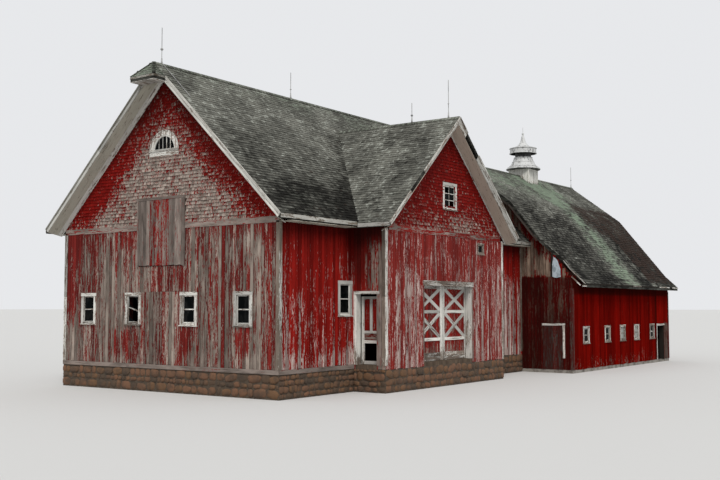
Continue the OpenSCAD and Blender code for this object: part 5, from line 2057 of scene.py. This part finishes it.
@dataclass
class EntryLeaf(Leaf):
    """The panelled entry door, whose bottom panel is missing."""

    stile: float = 0.115

    def stile_wear(self, p: Points) -> Points:
        """The stiles, nearly bare at the foot."""
        return 0.10 + 0.6 * fade(p[:, 2], 0.05, 0.5)

    def build(self, seed: int) -> None:
        """Builds the door's stiles, rails, panels and hinges.

        Args:
            seed: start of its random draws.
        """
        white, red = Heap("entry_door_rails", seed), Heap("entry_door_panels", seed + 1)
        iron = Heap("entry_door_hinges", seed + 2)
        full, s, w = self.board + self.rail, self.stile, self.width
        half = (w - 3 * s) / 2
        for u in (0.0, w - s):
            self.bar(white, (u, u + s), (0.0, self.height), 0.0, full, self.stile_wear)
        for z in ((0.0, 0.12), (0.77, 0.88), (1.13, 1.23), (2.41, self.height)):
            self.bar(white, (s, w - s), z, 0.0, full - 0.002, 0.12, False)
        self.bar(white, (s + half, w - s - half), (1.23, 2.41), 0.0, full - 0.002, 0.1)
        for u in (s, w - s - half):
            self.bar(red, (u - 0.01, u + half + 0.01), (1.22, 2.42), 0.0, self.board, 0.12)
            self.bar(red, (u + 0.03, u + half - 0.03), (1.27, 2.37), self.board, 0.006, 0.12)
        self.bar(red, (s - 0.01, w - s + 0.01), (0.87, 1.14), 0.0, self.board, 0.6, False)
        self.straps(iron, s)
        white.build(WHITE, "white_trim", (self.node,), self.body)
        red.build(RED, "door_red", body=self.body)
        iron.build(IRON, "hinge_iron", body=self.body)


@dataclass
class Doors:
    """The hung leaves, the fixed hay door and the patches nailed over other holes."""

    hay_boards: int = 15
    patch_boards: int = 6
    behind: float = 0.067

    def build(self) -> None:
        """Builds every door."""
        y = -PLAN.wing_out + PLAN.wall_t + self.behind
        for x, along, body, node, seed in ((6.86, X, Body.LEFT, "wagon_door_left", 81),
                                           (10.75, -X, Body.RIGHT, "wagon_door_right", 84)):
            WagonLeaf(Face(vec(x, y, 0), along, -Y), 1.94, 2.995, body, node).build(seed)
        x = PLAN.wing_x0 + PLAN.wall_t + self.behind
        EntryLeaf(Face(vec(x, -1.013, 0), Y, -X), 0.86, 2.5, Body.ENTRY, "entry_door").build(87)
        self.hay_door()
        self.shut_door()
        self.torn_sheet()

    def hay_door(self) -> None:
        """Grey upright boards with redder ones in their middle, in a thin frame."""
        heap = Heap("hay_door_boards", 91)
        width = (HAY[1] - HAY[0]) / self.hay_boards
        for i in range(self.hay_boards):
            u = HAY[0] + width * (i + 0.5)
            foot, lift = heap.rng.uniform(0.0, 0.04), heap.rng.uniform(0.0, 0.012)
            wear = 0.55 if 5.27 < u < 6.33 else 0.95
            heap.post(FRONT, u, (HAY[2] + foot, HAY[3]), width - 0.005, 0.036 + lift, wear)
        for u in (HAY[0] + 0.03, HAY[1] - 0.03):
            heap.post(FRONT, u, (HAY[2] - 0.03, HAY[3]), 0.06, 0.058, 0.9)
        heap.rail(FRONT, (HAY[0] - 0.02, HAY[1] + 0.02), HAY[3] - 0.05, 0.1, 0.056, 0.92)
        heap.build(GREY, "grey_boards", ("hay_door",))

    def shut_door(self) -> None:
        """Boards nailed over the stable's front doorway, and two thin ones higher up."""
        heap = Heap("patch_boards", 92)
        width = (SHUT_DOOR[1] - SHUT_DOOR[0]) / self.patch_boards
        for i in range(self.patch_boards):
            heap.post(STABLE_FRONT, SHUT_DOOR[0] + (i + 0.5) * width, SHUT_DOOR[2:], 0.163,
                      0.008 + 0.008 * (i % 2), 0.4, moss=0.8)
        for u in (-1.57, -1.63):
            start, end = STABLE_FRONT.at(u, 3.56), STABLE_FRONT.at(u - 0.03, 4.66)
            heap.board(start, end, Y, -X, 0.055, 0.022, 1.0, 0.0, moss=1.0)
        heap.build(GREY, "grey_boards")

    def torn_sheet(self) -> None:
        """A pale sheet with a ragged top, over a hole in the stable's front wall."""
        heap = Heap("torn_sheet", 93)
        edges = np.linspace(1.66, 2.08, 8)
        foot = np.interp(edges, (1.66, 1.86, 2.08), (3.56, 3.50, 3.55))
        top = np.interp(edges, (1.66, 1.72, 1.93, 2.08), (4.16, 4.52, 4.34, 3.88))
        for i, (a, b) in enumerate(zip(edges, edges[1:])):
            outline = [(a, foot[i]), (b, foot[i + 1]), (b, top[i + 1]), (a, top[i])]
            heap.prism(outline, -Y, Z, STABLE_FRONT.at(0, 0, 0.03 + 0.009 * (i % 2)), 0.012, 0.3, 0.6)
        heap.build(TIN, "vent_metal")


@dataclass
class Cupola:
    """The ridge ventilator: boarded base, layered brim, skirt, neck and bell cap."""

    x: float = PLAN.cupola_x
    y: float = PLAN.stable_mid
    brim_z: float = 9.93
    base: float = 1.15
    seams: int = 16
    slats: int = 14
    skirt: tuple[Pair, ...] = ((0.95, 0.045), (0.78, 0.155), (0.62, 0.405), (0.515, 0.66))
    bell: tuple[Pair, ...] = ((0.745, 1.212), (0.46, 1.292), (0.34, 1.367), (0.24, 1.457), (0.165, 1.572))

    @property
    def foot(self) -> Points:
        """The middle of the brim's underside."""
        return vec(self.x, self.y, self.brim_z)

    def rib(self, heap: Heap, turn: float, low: Pair, high: Pair, size: float) -> None:
        """A seam between two (radius, height) places at one turn round the axis.

        Args:
            heap: where it goes.
            turn: angle round the axis.
            low: its lower end.
            high: its upper end.
            size: its width and thickness.
        """
        ray = vec(math.cos(turn), math.sin(turn), 0)
        side = np.cross(Z, ray)
        start, end = (self.foot + ray * r + Z * z for r, z in (low, high))
        heap.board(start, end, side, -np.cross(side, unit(end - start)), size, size, 0.4, 0.6)

    def base_wear(self, q: Points) -> Points:
        """The base boards, worn along the roof."""
        return 0.10 + 0.4 * fade(q[:, 2] - PLAN.stable_top(q[:, 1]), 0.0, 0.25)

    def build(self) -> None:
        """Builds the ventilator's seams, rings and base boards, and its louvre, liner and brim rings in near
        black, painted shade under the cap and brim.
        """
        sheet = Heap("cupola_seams", 95)
        for i in range(self.seams):
            for line, size in ((self.skirt, 0.022), (self.bell, 0.016)):
                for low, high in zip(line, line[1:]):
                    self.rib(sheet, 2 * math.pi * (i + 0.5) / self.seams, low, high, size)
        for r, z, h in ((0.965, 0.0, 0.035), (0.90, 0.075, 0.026), (0.80, 0.15, 0.024), (0.635, 0.40, 0.02),
                        (0.53, 0.655, 0.03), (0.772, 0.9, 0.035), (0.772, 1.185, 0.03), (0.47, 1.28, 0.02)):
            ring = [(r - 0.06, z), (r, z), (r + 0.006, z + h / 2), (r, z + h), (r - 0.06, z + h)]
            sheet.turned(ring, self.foot, 48, tone=0.6)
        sheet.turned([(0.03, 2.0), (0.062, 2.03), (0.062, 2.08), (0.03, 2.11)], self.foot, 24, tone=0.4)
        sheet.build(VENT, "vent_metal")
        # Near black throughout: the slats, the sleeve behind them and the liner in the cap are painted shade
        # under the cap, and the two thin rings at the brim are painted shadow under its edges.
        inside = Heap("cupola_louvre_painted_shade", 96)
        for inner, outer, low, high in ((0.44, 0.452, 0.725, 1.2), (0.70, 0.738, 0.902, 1.18),
                                        (0.74, 0.845, 0.045, 0.075), (0.58, 0.95, -0.03, -0.002)):
            inside.turned([(inner, low), (outer, low), (outer, high), (inner, high)], self.foot, 48)
        for i in range(self.slats):
            self.rib(inside, 2 * math.pi * i / self.slats, (0.452, 0.72), (0.452, 1.19), 0.035)
        inside.build(VENT_SHADE, "vent_metal")
        self.base_boards()

    def base_boards(self) -> None:
        """Boards and corner boards on the four sides of the base, down to the roof."""
        boards = Heap("cupola_base_boards", 97)
        half, width = self.base / 2, self.base / 6
        spots = [((i + 0.5) * width - half, width - 0.003, 0.014) for i in range(6)]
        spots += [((half + 0.01) * side, 0.08, 0.026) for side in (-1, 1)]
        for out, across in ((X, Y), (-X, Y), (Y, X), (-Y, X)):
            for u, wide, thick in spots:
                place = vec(self.x, self.y, 0) + out * half + across * u
                low, high = float(PLAN.stable_top(place[1])) - 0.05, self.brim_z - 0.035
                boards.board(place + Z * low, place + Z * high, across, out, wide, thick, self.base_wear, 0.8,
                             step=0.1)
        boards.build(WHITE, "white_trim")


@dataclass
class Ridges:
    """Cap boards on the ridges, and the shingles of the hay hood."""

    hood_reach: float = 0.56
    hood_drop: float = 0.6

    def fall(self, drop: float, across: Points) -> Points:
        """The direction down a slope, given its drop for each metre across."""
        return (across - Z * drop) / math.hypot(1, drop)

    def cap(self, heap: Heap, start: Points, end: Points, drop: float) -> None:
        """Two boards that meet over a ridge.

        Args:
            heap: where they go.
            start: one end of the ridge.
            end: the other end of the ridge.
            drop: how far its slopes drop for each metre across.
        """
        across = np.abs(np.cross(unit(end - start), Z))
        for side in (-1, 1):
            slope = self.fall(drop, side * across)
            out = rising(np.cross(unit(end - start), slope))
            shift = slope * 0.075 + out * 0.022
            heap.strip(start + shift, end + shift, slope, out, 0.15, 0.018, 3.0, 0.0, tone=0.75, moss=0.35)

    def build(self) -> None:
        """Builds the caps and the hood's cover."""
        p = PLAN
        caps = Heap("ridge_caps", 98)
        ridge = vec(0, p.mid, p.ridge_z)
        self.cap(caps, ridge - X * (p.rake_out + 0.05), ridge + X * (p.length + p.rake_out), p.main_fall)
        back = p.mid - (p.ridge_z - p.wing_ridge_z) / p.main_fall
        self.cap(caps, vec(p.wing_mid, p.wing_tip, p.wing_ridge_z), vec(p.wing_mid, back, p.wing_ridge_z),
                 p.wing_fall)
        ridge = vec(0, p.stable_mid, p.stable_ridge_z)
        drop = (p.stable_ridge_z - p.stable_break[1]) / p.stable_break[0]
        for x0, x1 in ((p.length, p.cupola_x - 0.6), (p.cupola_x + 0.6, p.stable_x1 + p.stable_rake_out)):
            self.cap(caps, ridge + X * x0, ridge + X * x1, drop)
        caps.build(ROOF, "roof_shingles")
        self.hood()
        self.hood_edge()
        self.rod_fittings()

    def rod_fittings(self) -> None:
        """Balls and sockets on the lightning rods, and the first one's cable down the roof."""
        p = PLAN
        heap = Heap("rod_fittings", 102, smooth=True)
        socket = [(0.006, 0.0), (0.045, 0.0), (0.03, 0.10), (0.022, 0.24), (0.006, 0.24)]
        for x, y, foot, ball, r in ((-0.2, p.mid, p.ridge_z, 0.57, 0.05),
                                    (7.37, p.mid, p.ridge_z, 0.42, 0.03),
                                    (p.wing_mid, 0.33, p.wing_ridge_z, 0.32, 0.045),
                                    (p.wing_mid, -1.43, p.wing_ridge_z, 0.6, 0.026),
                                    (p.stable_x1 + 0.15, p.stable_mid, p.stable_ridge_z, 0.5, 0.03)):
            line = [(0.006 + r * math.cos(a), r * math.sin(a)) for a in np.linspace(-1.2, 1.2, 9)]
            heap.turned([(0.006, -r), *line, (0.006, r)], vec(x, y, foot + ball), 20)
            heap.turned(socket, vec(x, y, foot), 16)
        down = self.fall(p.main_fall, -Y)
        top = vec(-0.2, p.mid - 0.02, p.ridge_z + 0.03)
        heap.strip(top, top + down * 2.1, X, np.cross(down, X), 0.024, 0.014, 0.5, step=0.25)
        heap.build(ROD, "hinge_iron")

    @property
    def hood_x(self) -> Pair:
        """How far out the hood's lip and its back are."""
        back = -PLAN.rake_out - 0.025
        return back - self.hood_reach, back

    @property
    def hood_half(self) -> float:
        """Half the hood's width at its lip."""
        return self.hood_drop / PLAN.main_fall

    def on_side(self, q: Points) -> np.ndarray:
        """Whether points lie on the hood's two sides, and not past its hips."""
        hip = PLAN.ridge_z - self.hood_drop * (self.hood_x[1] - q[:, 0]) / self.hood_reach
        return PLAN.main_top(q[:, 1]) < hip + 0.01

    def on_lip(self, q: Points) -> np.ndarray:
        """Whether points lie on the hood's front slope, and not past its hips."""
        hip = PLAN.ridge_z - self.hood_drop * (self.hood_x[1] - q[:, 0]) / self.hood_reach
        return PLAN.main_top(q[:, 1]) > hip - 0.01

    def hood(self) -> None:
        """Shingles on the hood's front and sides."""
        p, drop, half, (x0, x1) = PLAN, self.hood_drop, self.hood_half, self.hood_x
        low, slope = p.ridge_z - drop, Roofs().slope
        heap = Heap("hood_shingles", 99)
        for side in (-1, 1):
            slope(vec(x0, p.mid + side * half, low), vec(x0, p.mid, p.ridge_z), X, self.hood_reach,
                  self.on_side, even(0.2), even(0.5), shingle_w=0.07).lay(heap)
        slope(vec(x0, p.mid - half, low), vec(x1, p.mid - half, p.ridge_z), Y, 2 * half, self.on_lip,
              even(0.2), even(0.6), shingle_w=0.07).lay(heap)
        for side in (-1, 1):
            start, end = vec(x0, p.mid + side * half, low), vec(x1, p.mid, p.ridge_z)
            lean = unit(vec(-drop / self.hood_reach, side * drop / half, 2))
            across = np.cross(lean, unit(end - start))
            heap.strip(start + lean * 0.012, end + lean * 0.012, across, lean, 0.13, 0.018, 1.0, 0.3,
                       moss=0.3)
        heap.build(ROOF, "roof_shingles")

    def hood_edge(self) -> None:
        """Boards round the hood's edge and under it."""
        p, half, (x0, x1) = PLAN, self.hood_half, self.hood_x
        low, t = p.ridge_z - self.hood_drop, 0.022
        lip, under, width = low - 0.045, low - p.roof_t, 2 * half / 5
        heap = Heap("hood_edge", 100)
        heap.board(vec(x0, p.mid - half, lip), vec(x0, p.mid + half, lip), Z, -X, 0.07, t, 0.6, moss=0.55)
        for side in (-1, 1):
            y = p.mid + side * half
            heap.board(vec(x0, y, lip), vec(x1, y, lip), Z, Y * side, 0.07, t, 0.6, moss=0.55)
        for i in range(5):
            y = p.mid - half + (i + 0.5) * width
            heap.board(vec(x0, y, under), vec(x1, y, under), Y, -Z, width - 0.006, 0.018, 0.3, moss=0.25)
        heap.build(WHITE, "white_trim")


@dataclass
class Footing:
    """Fieldstones in the main foundation's outside faces."""

    low: float = PLAN.ground_z
    high: float = PLAN.sill_z
    lift: float = 0.032

    def wall(self, heap: Heap, start: Points, along: Points, out: Points, length: float) -> None:
        """Lays one wall's stones in rough courses.

        Args:
            heap: where they go.
            start: the wall's corner, at height 0.
            along: direction along the wall.
            out: direction out of the wall.
            length: the wall's length.
        """
        rng = heap.rng
        z = self.low + self.lift
        while z < self.high - 0.08:
            h = min(rng.uniform(0.17, 0.32), self.high - z)
            if self.high - z - h < 0.1:
                h = self.high - z
            u = -rng.uniform(0.0, 0.08)
            while u < length - 0.06:
                w = max(min(rng.uniform(0.7, 2.1) * h, length - u + 0.03), 0.1)
                tall = min(h * rng.uniform(0.8, 1.12), self.high - z, h + 0.03)
                middle = start + along * (max(u, 0.0) + w / 2) + Z * (z + tall / 2)
                middle = middle + out * rng.uniform(-0.04, -0.015)
                heap.stone(middle, along, out, (w / 2 - 0.006, tall / 2 - 0.004, rng.uniform(0.055, 0.08)))
                u += w
            z += h

    def build(self) -> None:
        """Builds the stones of every wall that shows."""
        p = PLAN
        heap = Heap("foundation_stones", 101, smooth=True)
        o = p.wing_out
        for start, along, out, length in (
                ((0, 0), Y, -X, p.width), ((0, 0), X, -Y, p.wing_x0), ((p.wing_x0, -o), Y, -X, o),
                ((p.wing_x0, -o), X, -Y, p.wing_x1 - p.wing_x0), ((p.wing_x1, -o), Y, X, o),
                ((p.wing_x1, 0), X, -Y, p.length - p.wing_x1), ((0, p.width), X, Y, p.length),
                ((p.length, p.stable_y1), Y, X, p.width - p.stable_y1)):
            self.wall(heap, vec(*start, 0), along, out, length)
        heap.build(STONE, "fieldstone")


@dataclass(frozen=True)
class Studio:
    """Camera, floor, sky and lamps. The camera was solved from the photograph's vanishing lines."""

    focal_px: float = 987.4
    frame_px: float = 720.0
    sensor: float = 36.0
    place: tuple[float, float, float] = (-25.554, -21.522, 2.147)
    heading: float = math.radians(35.441)
    pitch: float = math.radians(3.846)
    floor_half: float = 900.0

    def camera(self) -> None:
        """Stands the camera where the photograph was taken."""
        data = bpy.data.cameras.new("camera")
        data.sensor_width = self.sensor
        data.lens = self.focal_px * self.sensor / self.frame_px
        data.clip_end = 2000.0
        camera = bpy.data.objects.new("camera", data)
        level_share = math.cos(self.pitch)
        ahead = Vector((math.cos(self.heading) * level_share, math.sin(self.heading) * level_share,
                        math.sin(self.pitch)))
        turn = ahead.to_track_quat("-Z", "Y").to_matrix().to_4x4()
        camera.matrix_world = Matrix.Translation(Vector(vec(*self.place) + ORIGIN)) @ turn
        bpy.context.scene.collection.objects.link(camera)
        bpy.context.scene.camera = camera

    def floor(self) -> None:
        """A plain pale floor."""
        side = self.floor_half
        mesh = bpy.data.meshes.new("floor")
        mesh.from_pydata([(-side, -side, 0), (side, -side, 0), (side, side, 0), (-side, side, 0)], [],
                         [(0, 1, 2, 3)])
        floor = bpy.data.objects.new("floor", mesh)
        bpy.context.scene.collection.objects.link(floor)
        made = bpy.data.materials.new("floor")
        made.use_nodes = True
        surface = made.node_tree.nodes["Principled BSDF"].inputs
        surface["Base Color"].default_value = (0.62, 0.62, 0.61, 1)
        surface["Roughness"].default_value = 0.95
        mesh.materials.append(made)

    def light(self) -> None:
        """An even sky with one soft lamp from the front left."""
        scene = bpy.context.scene
        world = bpy.data.worlds.new("sky")
        world.use_nodes = True
        scene.world = world
        t = Tree(world.node_tree)
        world.node_tree.nodes.clear()
        seen = t.make("LightPath").outputs
        pale = t.math("MAXIMUM", seen["Is Camera Ray"],
                      t.math("MAXIMUM", seen["Is Glossy Ray"], seen["Is Transmission Ray"]))
        sky = t.make("Background", {"Color": (0.95, 0.97, 1.0, 1.0), "Strength": 0.62})
        back = t.make("Background", {"Color": (0.80, 0.81, 0.83, 1.0), "Strength": 1.0})
        both = t.make("MixShader", {0: pale, 1: sky.outputs[0], 2: back.outputs[0]})
        t.make("OutputWorld", {"Surface": both.outputs[0]})
        lamp = bpy.data.lights.new("sun", "SUN")
        lamp.energy = 2.1
        lamp.angle = math.radians(24)
        lamp.color = (1.0, 0.97, 0.93)
        sun = bpy.data.objects.new("sun", lamp)
        sun.rotation_mode = "QUATERNION"
        sun.rotation_quaternion = Vector((0.62, 0.50, -0.95)).to_track_quat("-Z", "Y")
        scene.collection.objects.link(sun)
        scene.view_settings.view_transform = "Standard"

    def build(self) -> None:
        """Sets the studio up."""
        self.camera()
        self.floor()
        self.light()


def dress_frame() -> None:
    """Gives every carried-over node its finish."""
    kinds = {"fieldstone": MORTAR, "floor_planks": PLANKS, "red_boards": BACKING_PAINTED_SHADE,
             "roof_shingles": ROOF_DECK,
             "white_trim": PaintedWood("white_backing", kept=False, wear=0.35, paint=WHITE.paint,
                                       faded=WHITE.faded),
             "grey_boards": PaintedWood("grey_backing", kept=False, wear=0.9), "window_glass": GLASS,
             "door_red": BACKING_PAINTED_SHADE, "hinge_iron": IRON, "concrete": CONCRETE, "vent_metal": VENT}
    slots = {row["node"]: row["material_slot"] for row in frame["record"]["subparts"]}
    for name, node in frame["nodes"].items():
        made = kinds[slots[name]].material()
        node.data.materials.clear()
        node.data.materials.append(ROD.material() if name == "lightning_rods" else made)


def main() -> None:
    """Builds the barn's finish piece by piece."""
    logging.basicConfig(level=logging.INFO, format="%(name)s: %(message)s")
    Studio().build()
    dress_frame()
    Footing().build()
    Walls().build()
    Roofs().build()
    Ridges().build()
    Trim().build()
    Windows().build()
    Doors().build()
    Cupola().build()


if __name__ == "__main__":
    main()
